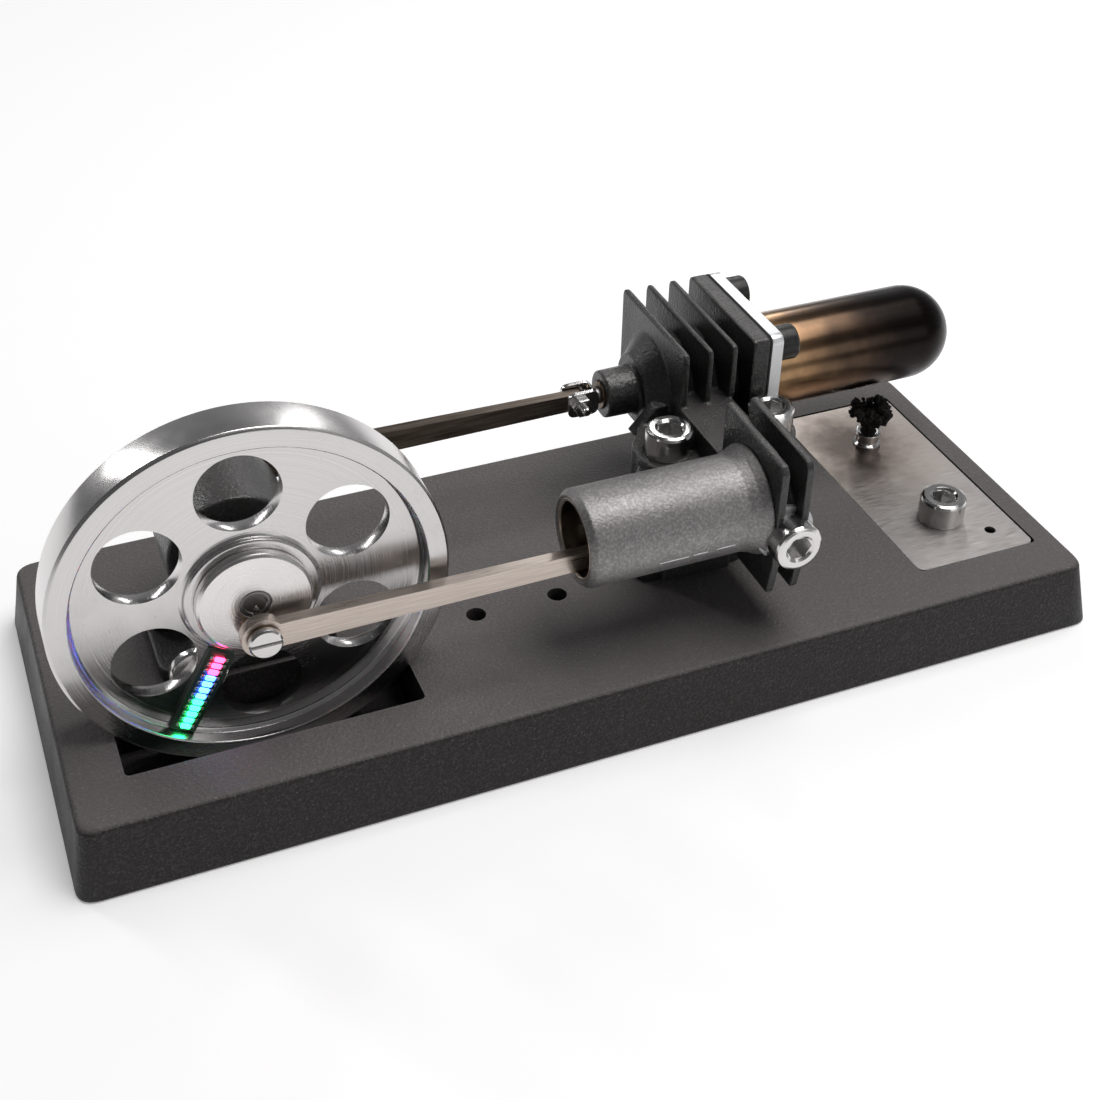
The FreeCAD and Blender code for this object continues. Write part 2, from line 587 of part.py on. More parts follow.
def square_plate(name, start, thickness, bore, rebated=False):
    """Square plate on the displacer axis with a round bore and the four clamp-screw holes."""
    solid = box(name + "_plate", (start, "displacer_y - fin_half", "shaft_z - fin_half"),
                (thickness, "2 * fin_half", "2 * fin_half"))
    before, length = "(%s) - over" % start, "%s + 2 * over" % thickness
    tools = [cylinder(name + "_bore", bore, length, (before, "displacer_y", "shaft_z"), "+X")]
    for index, (side, level) in enumerate(CORNERS):
        tools.append(cylinder("%s_hole_%d" % (name, index), "clamp_shank_r + slip", length,
                              (before, "displacer_y + %d * clamp_bolt" % side,
                               "shaft_z + %d * clamp_bolt" % level), "+X"))
    if rebated:
        tools.append(cylinder(name + "_rebate", "cap_flange_r + slip", "cap_flange_t + over",
                              (before, "displacer_y", "shaft_z"), "+X"))
    return cut(name, solid, tools)


def make_cylinders():
    done(make_engine_block(), "engine_block")
    done(turned("cylinder_liner_body", [
        ("bore_r", "0"), ("liner_r", "0"), ("liner_r", "liner_end - barrel_front - liner_gap"),
        ("bore_r", "liner_end - barrel_front - liner_gap")],
        ("barrel_front + liner_gap", "power_y", "shaft_z"), "+X"), "cylinder_liner")
    done(turned("gland_bush_body", [
        ("rod_r + rod_gap", "0"), ("gland_bush_r", "0"), ("gland_bush_r", "gland_bush_length"),
        ("rod_r + rod_gap", "gland_bush_length")],
        ("gland_end - gland_bush_lip", "displacer_y", "shaft_z"), "+X"), "gland_bush")
    flange_face = "flange_x + flange_thickness"
    clamp_face = flange_face + " + gasket_thickness"
    done(square_plate("cap_gasket", flange_face, "gasket_thickness", "cooler_bore_r"), "cap_gasket")
    done(square_plate("clamp_plate", clamp_face, "clamp_thickness", "cap_r + cap_gap", True),
         "clamp_plate")
    shell = fuse("cap_outer", [
        cylinder("cap_tube", "cap_r", "cap_tip - cap_r - (%s)" % clamp_face,
                 (clamp_face, "displacer_y", "shaft_z"), "+X"),
        sphere("cap_dome", "cap_r", ("cap_tip - cap_r", "displacer_y", "shaft_z")),
        cylinder("cap_flange", "cap_flange_r", "cap_flange_t",
                 (clamp_face, "displacer_y", "shaft_z"), "+X")])
    done(cut("hot_cap", shell, [
        cylinder("cap_inside", "cap_r - cap_wall", "cap_tip - cap_r - (%s) + over" % clamp_face,
                 (clamp_face + " - over", "displacer_y", "shaft_z"), "+X"),
        sphere("cap_dome_inside", "cap_r - cap_wall", ("cap_tip - cap_r", "displacer_y", "shaft_z"))]),
        "hot_cap")
    screws = []
    for index, (side, level) in enumerate(CORNERS):
        screws.append(socket_screw("clamp_screw_%d" % index, "clamp_head_r", "clamp_head",
                                   "clamp_shank_r", "clamp_shank", "clamp_hex",
                                   (clamp_face + " + clamp_thickness",
                                    "displacer_y + %d * clamp_bolt" % side,
                                    "shaft_z + %d * clamp_bolt" % level), "+X"))
    done(gather("clamp_screws", screws), "clamp_screws")
    done(gather("foot_screws", [
        socket_screw("foot_screw_%s" % name, "big_head_r", "big_head", "big_shank_r", "foot_shank",
                     "big_hex", (spot, "foot_y", "foot_top"), "+Z")
        for name, spot in (("left", "foot_x_left"), ("right", "foot_x_right"))]), "foot_screws")
    done(turned("plug_washer_body", [
        ("big_shank_r + slip", "0"), ("washer_r", "0"), ("washer_r", "washer_thickness"),
        ("big_shank_r + slip", "washer_thickness")],
        ("plug_x", "plug_seat", "plug_z"), "-Y"), "plug_washer")
    done(socket_screw("passage_plug", "big_head_r", "big_head", "big_shank_r", "plug_shank",
                      "big_hex", ("plug_x", "plug_seat - washer_thickness", "plug_z"), "-Y"), "passage_plug")


# ---- bearing pedestal and ball bearings ------------------------------------------------------

def make_pedestal():
    solid = fuse("pedestal_solid", [
        cylinder("housing", "pedestal_r", "pedestal_rear - pedestal_front",
                 ("shaft_x", "pedestal_front", "shaft_z"), "+Y"),
        box("pedestal_column", ("shaft_x - column_half", "column_front", "base_height"),
            ("2 * column_half", "column_depth", "column_top - base_height")),
        box("pedestal_foot", ("shaft_x - foot_half", "foot_front", "base_height"),
            ("2 * foot_half", "foot_depth", "foot_height"))])
    tools = [
        cylinder("front_seat", "bearing_r", "bearing_width + over",
                 ("shaft_x", "pedestal_front - over", "shaft_z"), "+Y"),
        cylinder("rear_seat", "bearing_r", "bearing_width + over",
                 ("shaft_x", "pedestal_rear - bearing_width", "shaft_z"), "+Y"),
        cylinder("housing_bore", "housing_bore_r", "through",
                 ("shaft_x", "pedestal_front - over", "shaft_z"), "+Y")]
    screws = []
    for name, offset in (("left", "- pedestal_bolt"), ("right", "+ pedestal_bolt")):
        spot = "shaft_x " + offset
        tools.append(cylinder("pedestal_hole_" + name, "clamp_shank_r + slip", "foot_height + 2 * over",
                              (spot, "pedestal_bolt_y", "base_height - over")))
        screws.append(socket_screw("pedestal_screw_" + name, "clamp_head_r", "clamp_head",
                                   "clamp_shank_r", "pedestal_shank", "clamp_hex",
                                   (spot, "pedestal_bolt_y", "base_height + foot_height"), "+Z"))
    done(cut("bearing_pedestal", solid, tools), "bearing_pedestal")
    done(gather("pedestal_screws", screws), "pedestal_screws")


def make_bearing(name, start):
    middle = "(%s) + bearing_width / 2" % start

    def groove(tag):
        ring = doc.addObject("Part::Torus", name + tag)
        bind(ring, "Radius1", "ball_ring_r")
        bind(ring, "Radius2", "ball_r + ball_gap")
        return place(ring, ("shaft_x", middle, "shaft_z"), "+Y")

    def ring(tag, inner, outer):
        solid = turned(name + tag + "_body", [
            (inner, "0"), (outer, "0"), (outer, "bearing_width"), (inner, "bearing_width")],
            ("shaft_x", start, "shaft_z"), "+Y")
        return cut(name + tag, solid, [groove(tag + "_groove")])

    done(ring("_outer_ring", "race_outer_r", "bearing_r"), name + "_outer_ring")
    done(ring("_inner_ring", "shaft_r", "race_inner_r"), name + "_inner_ring")
    balls = []
    for index in range(BALLS):
        ball = sphere("%s_ball_%d" % (name, index), "ball_r", ("shaft_x", middle, "shaft_z"))
        turn = "360 deg * %d / %d" % (index, BALLS)
        bind(ball, "Placement.Base.x", "shaft_x + ball_ring_r * cos(%s)" % turn)
        bind(ball, "Placement.Base.z", "shaft_z + ball_ring_r * sin(%s)" % turn)
        balls.append(ball)
    done(gather(name + "_balls", balls), name + "_balls")


# ---- crankshaft, flywheel, hub, rear disc ----------------------------------------------------

def key_slot(name, along, across, start, length):
    return cylinder(name, "key_r + key_gap", length,
                    ("shaft_x + (%s)" % along, start, "shaft_z + (%s)" % across), "+Y")


def set_screw(name, y, length):
    """Headless screw with a hexagon socket that bears on the shaft."""
    low = "shaft_z + shaft_r + set_gap"
    plug = cylinder(name + "_thread", "set_r", length, ("shaft_x", y, low))
    return cut(name, plug, [hexagon(name + "_socket", "set_hex", "through", (
        "shaft_x", y, "%s + %s - set_hex_depth" % (low, length)))])


def make_flywheel():
    body = new_body("flywheel_body")
    section = outline(sketch_on(body, "wheel_section", "XZ_Plane"), [
        ("spigot_r", "wheel_boss_front - rim_front"), ("wheel_boss_r", "wheel_boss_front - rim_front"),
        ("wheel_boss_r", "web_front - rim_front"), ("rim_inner_r", "web_front - rim_front"),
        ("rim_inner_r", "0"), ("rim_r - rim_chamfer", "0"), ("rim_r", "rim_chamfer"),
        ("rim_r", "rim_rear - rim_front - rim_chamfer"),
        ("rim_r - rim_chamfer", "rim_rear - rim_front"), ("rim_inner_r", "rim_rear - rim_front"),
        ("rim_inner_r", "web_rear - rim_front"), ("spigot_r", "web_rear - rim_front")])
    revolve(body, "wheel_turning", section)
    doc.recompute()
    opening = circles(sketch_on(body, "web_hole", "XY_Plane"), [("0", "hole_ring_r", "hole_r")])
    first = pocket(body, "web_hole_cut", opening, "through", reverse=True)
    polar(body, "web_holes", first, WEB_HOLES)
    place(body, ("shaft_x", "rim_front", "shaft_z"), "+Y")
    done(body, "flywheel")


def make_crank():
    shaft = cylinder("shaft_solid", "shaft_r", "disc_rear - hub_front",
                     ("shaft_x", "hub_front", "shaft_z"), "+Y")
    front_slot = ("hub_front - over", "key_length + over + key_slack")
    done(cut("crankshaft", shaft, [
        key_slot("shaft_key_front", "0", "-throw / 2", *front_slot),
        key_slot("shaft_key_rear", "throw / 2", "0", "disc_front + key_slack",
                 "key_length + over")]), "crankshaft")

    hub = turned("hub_body", [
        ("shaft_r", "0"), ("hub_r - hub_chamfer", "0"), ("hub_r", "hub_chamfer"),
        ("hub_r", "wheel_boss_front - hub_front"), ("spigot_r", "wheel_boss_front - hub_front"),
        ("spigot_r", "hub_rear - hub_front"), ("shaft_r", "hub_rear - hub_front")],
        ("shaft_x", "hub_front", "shaft_z"), "+Y")
    done(cut("flywheel_hub", hub, [
        key_slot("hub_key_slot", "0", "-throw / 2", *front_slot),
        cylinder("hub_pin_hole", "pin_thread_r", "pin_hole_depth + over",
                 ("shaft_x", "hub_front - over", "shaft_z - throw"), "+Y"),
        cylinder("hub_set_hole", "set_hole_r", "through", ("shaft_x", "hub_set_y", "shaft_z"))]),
        "flywheel_hub")
    done(set_screw("hub_set_screw", "hub_set_y", "hub_set_length"), "hub_set_screw")

    disc = turned("disc_body", [
        ("shaft_r", "0"), ("disc_r", "0"), ("disc_r", "disc_rear - disc_front - hub_chamfer"),
        ("disc_r - hub_chamfer", "disc_rear - disc_front"), ("shaft_r", "disc_rear - disc_front")],
        ("shaft_x", "disc_front", "shaft_z"), "+Y")
    done(cut("crank_disc", disc, [
        key_slot("disc_key_slot", "throw / 2", "0", "disc_front - over", "through"),
        cylinder("disc_pin_hole", "pin_thread_r", "disc_pin_depth + over",
                 ("shaft_x + throw", "disc_rear - disc_pin_depth", "shaft_z"), "+Y"),
        cylinder("disc_set_hole", "set_hole_r", "through", ("shaft_x", "disc_set_y", "shaft_z"))]),
        "crank_disc")
    done(set_screw("disc_set_screw", "disc_set_y", "disc_set_length"), "disc_set_screw")

    # each key is a round pin half way between the shaft's centre and its crank pin
    done(cylinder("hub_key_pin", "key_r", "key_length",
                  ("shaft_x", "hub_front + key_inset", "shaft_z - throw / 2"), "+Y"), "hub_key")
    done(cylinder("disc_key_pin", "key_r", "disc_rear - key_inset - disc_key_start",
                  ("shaft_x + throw / 2", "disc_key_start", "shaft_z"), "+Y"), "disc_key")


def crank_pin(name, x, z, face, plane_y, outward):
    """Shoulder screw: thread in the disc, shoulder through the rod's bush, slotted head outside."""
    toward, inward, sign = ("+Y", "-Y", "+") if outward > 0 else ("-Y", "+Y", "-")
    shoulder = "abs(%s - (%s)) + rod_thickness / 2 + pin_play" % (plane_y, face)
    head_spot = "%s %s (rod_thickness / 2 + pin_play)" % (plane_y, sign)
    solid = fuse(name + "_solid", [
        cylinder(name + "_thread", "pin_thread_r - thread_gap", "pin_thread", (x, face, z), inward),
        cylinder(name + "_shoulder", "pin_r", shoulder, (x, face, z), toward),
        cylinder(name + "_head", "pin_head_r", "pin_head", (x, head_spot, z), toward)])
    slot_low = head_spot + (" + pin_head - slot_depth" if outward > 0
                            else " - pin_head + slot_depth - 2 * over")
    return cut(name, solid, [
        box(name + "_slot", ("%s - pin_head_r - over" % x, slot_low, "%s - slot_half" % z),
            ("2 * pin_head_r + 2 * over", "2 * over", "2 * slot_half"))])


def rod(name, big_x, small_x, level, plane_y, big_half, tip_half):
    """Flat connecting rod: a tapered bar between a bushed big end and a small eye."""
    start = "%s - rod_thickness / 2" % plane_y
    body = new_body(name + "_bar_body")
    profile = outline(sketch_on(body, name + "_bar_outline", "XZ_Plane"), [
        (big_x, "(%s) - %s" % (level, big_half)), (small_x, "(%s) - %s" % (level, tip_half)),
        (small_x, "(%s) + %s" % (level, tip_half)), (big_x, "(%s) + %s" % (level, big_half))])
    pad(body, name + "_bar", profile, "rod_thickness", reverse=True)
    bind(body, "Placement.Base.y", start)
    solid = fuse(name + "_solid", [
        body,
        cylinder(name + "_big_end", "eye_r", "rod_thickness", (big_x, start, level), "+Y"),
        cylinder(name + "_small_end", tip_half, "rod_thickness", (small_x, start, level), "+Y")])
    tools = [
        cylinder(name + "_bush_seat", "eye_bush_r", "rod_thickness + 2 * over",
                 (big_x, "%s - over" % start, level), "+Y"),
        cylinder(name + "_small_eye", "small_eye_r", "rod_thickness + 2 * over",
                 (small_x, "%s - over" % start, level), "+Y")]
    return cut(name, solid, tools)


def rod_bush(name, x, z, plane_y):
    return turned(name + "_body", [
        ("pin_r + pin_gap", "0"), ("eye_bush_r", "0"), ("eye_bush_r", "rod_thickness + 2 * bush_proud"),
        ("pin_r + pin_gap", "rod_thickness + 2 * bush_proud")],
        (x, "%s - rod_thickness / 2 - bush_proud" % plane_y, z), "+Y")


def make_rods():
    done(crank_pin("power_crank_pin", "shaft_x", "shaft_z - throw", "hub_front", "power_y", -1),
         "power_crank_pin")
    done(rod("power_rod", "shaft_x", "wrist_x", "shaft_z - throw", "power_y", "rod_half",
             "rod_tip_half"), "power_rod")
    done(rod_bush("power_rod_bush", "shaft_x", "shaft_z - throw", "power_y"), "power_rod_bush")
    done(crank_pin("displacer_crank_pin", "shaft_x + throw", "shaft_z", "disc_rear",
                   "displacer_y", 1), "displacer_crank_pin")
    done(rod("displacer_link", "shaft_x + throw", "clevis_x", "shaft_z", "displacer_y",
             "rod_half + 0.2", "rod_tip_half"), "displacer_link")
    done(rod_bush("displacer_link_bush", "shaft_x + throw", "shaft_z", "displacer_y"),
         "displacer_link_bush")


# ---- piston, displacer and their forks -------------------------------------------------------

def fork(name, x, plane_y, half, reach_back, reach_front, cheek):
    """Two cheeks beside a rod's small end."""
    cheeks = []
    for tag, low in (("near", "%s - cheek_gap - %s" % (plane_y, cheek)),
                     ("far", "%s + cheek_gap" % plane_y)):
        cheeks.append(box("%s_cheek_%s" % (name, tag),
                          ("%s - %s" % (x, reach_back), low, "shaft_z - %s" % half),
                          ("%s + %s" % (reach_back, reach_front), cheek, "2 * %s" % half)))
    return cheeks


def make_piston():
    cheeks = fork("piston_fork", "wrist_x", "power_y", "fork_half", "fork_back", "fork_reach",
                  "fork_cheek")
    solid = fuse("piston_solid", cheeks + [
        cylinder("piston_crown", "bore_r - piston_gap", "crown_length",
                 ("crown_start", "power_y", "shaft_z"), "+X")])
    done(cut("power_piston", solid, [
        cylinder("wrist_hole", "small_eye_r", "through",
                 ("wrist_x", "power_y - through / 2", "shaft_z"), "+Y"),
        turned("piston_groove", [
            ("bore_r - groove_depth", "0"), ("bore_r + over", "0"), ("bore_r + over", "groove_width"),
            ("bore_r - groove_depth", "groove_width")], ("groove_x", "power_y", "shaft_z"), "+X")]),
        "power_piston")
    done(gather("wrist_pin", [
        cylinder("wrist_pin_near", "small_eye_r", "wrist_pin_length",
                 ("wrist_x", "power_y - cheek_gap - wrist_pin_length", "shaft_z"), "+Y"),
        cylinder("wrist_pin_far", "small_eye_r", "wrist_pin_length",
                 ("wrist_x", "power_y + cheek_gap", "shaft_z"), "+Y")]), "wrist_pin")


def make_clevis():
    front, rear = "displacer_y - cheek_gap", "displacer_y + cheek_gap"
    body = fuse("clevis_solid", fork("clevis", "clevis_x", "displacer_y", "clevis_half", "clevis_back",
                                     "clevis_reach", "clevis_cheek") + [
        box("clevis_bridge", ("clevis_x + clevis_reach - clevis_cheek", front + " - clevis_cheek",
                              "shaft_z - clevis_half"),
            ("clevis_cheek", "2 * cheek_gap + 2 * clevis_cheek", "2 * clevis_half"))])
    done(cut("clevis", body, [
        cylinder("clevis_holes", "small_eye_r + thread_gap", "through",
                 ("clevis_x", "displacer_y - through / 2", "shaft_z"), "+Y")]), "clevis")
    rear_half = fuse("clevis_screw_rear_solid", [
        cylinder("clevis_rear_shank_rod", "small_eye_r", "clevis_rear_shank",
                 ("clevis_x", rear, "shaft_z"), "+Y"),
        cylinder("clevis_rear_head", "clevis_head_r", "clevis_head",
                 ("clevis_x", rear + " + clevis_cheek", "shaft_z"), "+Y")])
    slot = box("clevis_screw_slot",
               ("clevis_x - clevis_head_r - over", rear + " + clevis_cheek + clevis_head - slot_depth",
                "shaft_z - fine_slot_half"),
               ("2 * clevis_head_r + 2 * over", "2 * over", "2 * fine_slot_half"))
    done(gather("clevis_screw", [
        cut("clevis_screw_rear", rear_half, [slot]),
        cylinder("clevis_front_shank_rod", "small_eye_r", "clevis_front_shank",
                 ("clevis_x", front, "shaft_z"), "-Y")]), "clevis_screw")
    nut = hexagon("clevis_nut_hex", "clevis_nut_r", "clevis_nut_width",
                  ("clevis_x", front + " - clevis_cheek", "shaft_z"), "-Y")
    done(cut("clevis_nut", nut, [
        cylinder("clevis_nut_hole", "small_eye_r + thread_gap", "through",
                 ("clevis_x", "displacer_y", "shaft_z"), "-Y")]), "clevis_nut")


def make_displacer():
    start = "clevis_x + clevis_reach"
    done(cylinder("displacer_shaft_rod", "rod_r",
                  "displacer_start + displacer_bottom - clevis_x - clevis_reach",
                  (start, "displacer_y", "shaft_z"), "+X"), "displacer_shaft")
    nose = ("displacer_end - displacer_r", "displacer_y", "shaft_z")
    can = fuse("displacer_can", [
        cylinder("displacer_tube", "displacer_r", "displacer_end - displacer_start - displacer_r",
                 ("displacer_start", "displacer_y", "shaft_z"), "+X"),
        sphere("displacer_nose", "displacer_r", nose)])
    inside = fuse("displacer_inside", [
        cylinder("displacer_inner_tube", "displacer_r - displacer_wall",
                 "displacer_end - displacer_start - displacer_r - displacer_bottom",
                 ("displacer_start + displacer_bottom", "displacer_y", "shaft_z"), "+X"),
        sphere("displacer_inner_nose", "displacer_r - displacer_wall", nose)])
    socket = cylinder("displacer_socket", "rod_r", "displacer_bottom + 2 * over",
                      ("displacer_start - over", "displacer_y", "shaft_z"), "+X")
    done(cut("displacer", can, [inside, socket]), "displacer")


# ---- light strip on the flywheel -------------------------------------------------------------

SPOKE_ANGLE = "(90 + strip_turn) * 1 deg"


def on_spoke(thing, low_r, across, depth):
    """Lay a piece drawn along +X on the lit spoke; depth is its row Y."""
    thing.Placement = Placement(Vector(0, 0, 0), Rotation(Vector(0, 1, 0), 90 + NUM["strip_turn"]))
    turn = {"r": low_r, "a": across, "t": SPOKE_ANGLE}
    bind(thing, "Placement.Base.x", "shaft_x + (%(r)s) * cos(%(t)s) + (%(a)s) * sin(%(t)s)" % turn)
    bind(thing, "Placement.Base.y", depth)
    bind(thing, "Placement.Base.z", "shaft_z - (%(r)s) * sin(%(t)s) + (%(a)s) * cos(%(t)s)" % turn)
    return thing


def make_lights():
    origin = ("0", "0", "0")
    board = box("light_board_plate", origin, ("board_length", "board_thickness", "2 * board_half"))
    done(on_spoke(board, "board_start", "-board_half", "web_front - board_thickness"), "light_board")
    for label, first, count in (("red_lights", 0, 3), ("blue_lights", 3, 4), ("green_lights", 7, 5)):
        lamps = []
        for index in range(first, first + count):
            lamp = box("%s_%d" % (label, index), origin,
                       ("2 * lamp_half_length", "lamp_height", "2 * lamp_half_width"))
            lamps.append(on_spoke(lamp, "lamp_start + %d * lamp_step - lamp_half_length" % index,
                                  "-lamp_half_width", "web_front - board_thickness - lamp_height"))
        done(gather(label, lamps), label)
    cell = cylinder("cell_disc", "cell_r", "cell_thickness", ("shaft_x", "web_rear", "shaft_z"), "+Y")
    bind(cell, "Placement.Base.x", "shaft_x + hole_ring_r * cos(%s)" % SPOKE_ANGLE)
    bind(cell, "Placement.Base.z", "shaft_z - hole_ring_r * sin(%s)" % SPOKE_ANGLE)
    done(cell, "button_cell")


# ---- build, check and write ------------------------------------------------------------------

make_tank_parts()
make_cylinders()
make_pedestal()
make_bearing("front_bearing", "pedestal_front")
make_bearing("rear_bearing", "pedestal_rear - bearing_width")
make_flywheel()
make_crank()
make_rods()
make_piston()
make_clevis()
make_displacer()
make_lights()
doc.recompute()

for thing in doc.Objects:
    if "Invalid" in thing.State or "Error" in thing.State:
        raise RuntimeError("%s did not rebuild: %s" % (thing.Name, thing.State))
os.makedirs("parts", exist_ok=True)
for label, thing in finished:
    shape = thing.Shape
    if shape.isNull() or not shape.isValid() or not shape.Solids:
        raise RuntimeError(label + " has no valid solid")
    shape.exportStep(os.path.join("parts", label + ".step"))
    print("%-24s %d solid(s) %9.1f mm3" % (label, len(shape.Solids), shape.Volume))
print(len(finished), "nodes")
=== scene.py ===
import json
import math
import random
import bmesh
import bpy
from mathutils import Matrix, Vector, noise


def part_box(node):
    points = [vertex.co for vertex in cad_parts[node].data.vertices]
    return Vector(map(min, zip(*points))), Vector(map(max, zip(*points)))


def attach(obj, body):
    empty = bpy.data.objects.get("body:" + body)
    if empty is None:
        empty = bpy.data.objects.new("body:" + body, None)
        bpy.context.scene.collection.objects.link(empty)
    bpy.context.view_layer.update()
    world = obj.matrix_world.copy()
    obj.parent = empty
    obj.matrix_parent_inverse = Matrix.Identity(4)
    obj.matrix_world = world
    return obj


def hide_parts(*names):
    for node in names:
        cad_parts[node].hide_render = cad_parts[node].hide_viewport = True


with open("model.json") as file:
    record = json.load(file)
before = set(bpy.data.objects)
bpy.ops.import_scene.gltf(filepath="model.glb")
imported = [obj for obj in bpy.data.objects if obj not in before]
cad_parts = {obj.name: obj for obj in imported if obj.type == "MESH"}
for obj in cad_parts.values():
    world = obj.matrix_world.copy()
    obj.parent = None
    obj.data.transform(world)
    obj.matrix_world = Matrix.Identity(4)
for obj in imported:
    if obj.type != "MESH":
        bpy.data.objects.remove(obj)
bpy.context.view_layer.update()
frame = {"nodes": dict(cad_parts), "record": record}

MM = 0.001
BODY_OF = {node: body for body, nodes in frame["record"]["behaviour"]["bodies"].items() for node in nodes}

TURN = {
    "+Z": Matrix.Identity(4),
    "-Z": Matrix.Rotation(math.pi, 4, "X"),
    "+X": Matrix.Rotation(math.pi / 2, 4, "Y"),
    "-X": Matrix.Rotation(-math.pi / 2, 4, "Y"),
    "+Y": Matrix.Rotation(-math.pi / 2, 4, "X"),
    "-Y": Matrix.Rotation(math.pi / 2, 4, "X"),
}


def low(node):
    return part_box(node)[0] / MM


def high(node):
    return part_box(node)[1] / MM


def centre(node):
    return (low(node) + high(node)) / 2


# Landmarks, all in millimetres and read from the frame.
SHAFT = centre("crankshaft")
SX, SZ = SHAFT.x, SHAFT.z
POWER_Y = centre("cylinder_liner").y
DISP_Y = centre("hot_cap").y
BASE_TOP = high("base_plinth").z
WHEEL_FRONT, WHEEL_REAR = low("flywheel").y, high("flywheel").y
WHEEL_R = (high("flywheel").x - low("flywheel").x) / 2
THROW = SZ - centre("power_crank_pin").z


# ---- camera, light and floor -----------------------------------------------------------------

CAMERA_AT = Vector((-88.34, -210.92, 193.08))
CAMERA_AZIMUTH, CAMERA_DIP, CAMERA_ROLL = 22.553, 37.789, 0.846
CAMERA_LENS, CAMERA_SENSOR = 53.18, 36.0


def make_camera():
    data = bpy.data.cameras.new("camera")
    data.lens = CAMERA_LENS
    data.sensor_width = CAMERA_SENSOR
    data.clip_start, data.clip_end = 0.01, 20.0
    camera = bpy.data.objects.new("camera", data)
    bpy.context.scene.collection.objects.link(camera)
    azimuth, dip, roll = (math.radians(a) for a in (CAMERA_AZIMUTH, CAMERA_DIP, CAMERA_ROLL))
    forward = Vector((math.sin(azimuth) * math.cos(dip), math.cos(azimuth) * math.cos(dip), -math.sin(dip)))
    level = Vector((math.cos(azimuth), -math.sin(azimuth), 0))
    right = level * math.cos(roll) + level.cross(forward) * math.sin(roll)
    up = right.cross(forward)
    turn = Matrix((right, up, -forward)).transposed().to_4x4()
    camera.matrix_world = Matrix.Translation(CAMERA_AT * MM) @ turn
    bpy.context.scene.camera = camera


def area_light(name, spot, target, size, power, colour):
    data = bpy.data.lights.new(name, "AREA")
    data.shape = "RECTANGLE"
    data.size, data.size_y = size
    data.energy = power
    data.color = colour
    light = bpy.data.objects.new(name, data)
    bpy.context.scene.collection.objects.link(light)
    spot, target = Vector(spot), Vector(target)
    aim = (target - spot).to_track_quat("-Z", "Y").to_matrix().to_4x4()
    light.matrix_world = Matrix.Translation(spot) @ aim


# Sky brightness against the height of the view direction.
SKY = ((0.0, 0.26), (0.4, 0.30), (0.75, 0.13), (1.0, 0.08))
# Name, place, aim, size (metres), power (watts) and colour of each light.
LIGHTS = (("key", (0.26, -0.02, 0.80), (0, 0, 0.02), (0.65, 0.45), 5.2, (1.0, 0.985, 0.975)),
          ("fill", (0.40, -0.75, 0.35), (0, 0, 0.02), (0.5, 0.3), 0.5, (1, 1, 1)),
          ("strip_left", (-0.42, 0.66, 0.50), (0, 0, 0.03), (0.07, 0.5), 1.1, (1, 1, 1)),
          ("strip_right", (0.42, 0.74, 0.50), (0, 0, 0.03), (0.10, 0.4), 0.7, (1, 1, 1)))
FLOOR_REACH, FLOOR_DROP, FLOOR_GLOW = 3.0, 0.00005, 0.26


def make_world():
    world = bpy.data.worlds.new("studio")
    bpy.context.scene.world = world
    world.use_nodes = True
    tree = world.node_tree
    tree.nodes.clear()
    coords = tree.nodes.new("ShaderNodeTexCoord")
    split = tree.nodes.new("ShaderNodeSeparateXYZ")
    tree.links.new(coords.outputs["Generated"], split.inputs[0])
    height = tree.nodes.new("ShaderNodeValToRGB")
    stops = height.color_ramp.elements
    for position, _ in SKY[1:-1]:
        stops.new(position)
    for stop, (_, grey) in zip(stops, SKY):
        stop.color = (grey, grey, grey + 0.005, 1)
    tree.links.new(split.outputs["Z"], height.inputs[0])
    background = tree.nodes.new("ShaderNodeBackground")
    side = tree.nodes.new("ShaderNodeMapRange")
    for socket, value in (("From Min", -0.9), ("From Max", 0.5), ("To Min", 0.25), ("To Max", 1.0)):
        side.inputs[socket].default_value = value
    tree.links.new(split.outputs["X"], side.inputs["Value"])
    tree.links.new(side.outputs["Result"], background.inputs["Strength"])
    tree.links.new(height.outputs[0], background.inputs["Color"])
    output = tree.nodes.new("ShaderNodeOutputWorld")
    tree.links.new(background.outputs[0], output.inputs["Surface"])


def make_stage():
    mesh = bpy.data.meshes.new("floor")
    mesh.from_pydata([(x * FLOOR_REACH, y * FLOOR_REACH, 0) for x, y in ((-1, -1), (1, -1), (1, 1), (-1, 1))],
                     [], [(0, 1, 2, 3)])
    floor = bpy.data.objects.new("floor", mesh)
    bpy.context.scene.collection.objects.link(floor)
    floor.location.z = -FLOOR_DROP
    paint = bpy.data.materials.new("floor_paint")
    paint.use_nodes = True
    shader = paint.node_tree.nodes["Principled BSDF"]
    shader.inputs["Base Color"].default_value = (0.93, 0.93, 0.935, 1)
    shader.inputs["Roughness"].default_value = 0.55
    shader.inputs["Emission Color"].default_value = (1, 1, 1, 1)
    shader.inputs["Emission Strength"].default_value = FLOOR_GLOW
    mesh.materials.append(paint)
    for light in LIGHTS:
        area_light(*light)
    bpy.context.scene.view_settings.view_transform = "Standard"


# ---- material helpers ------------------------------------------------------------------------

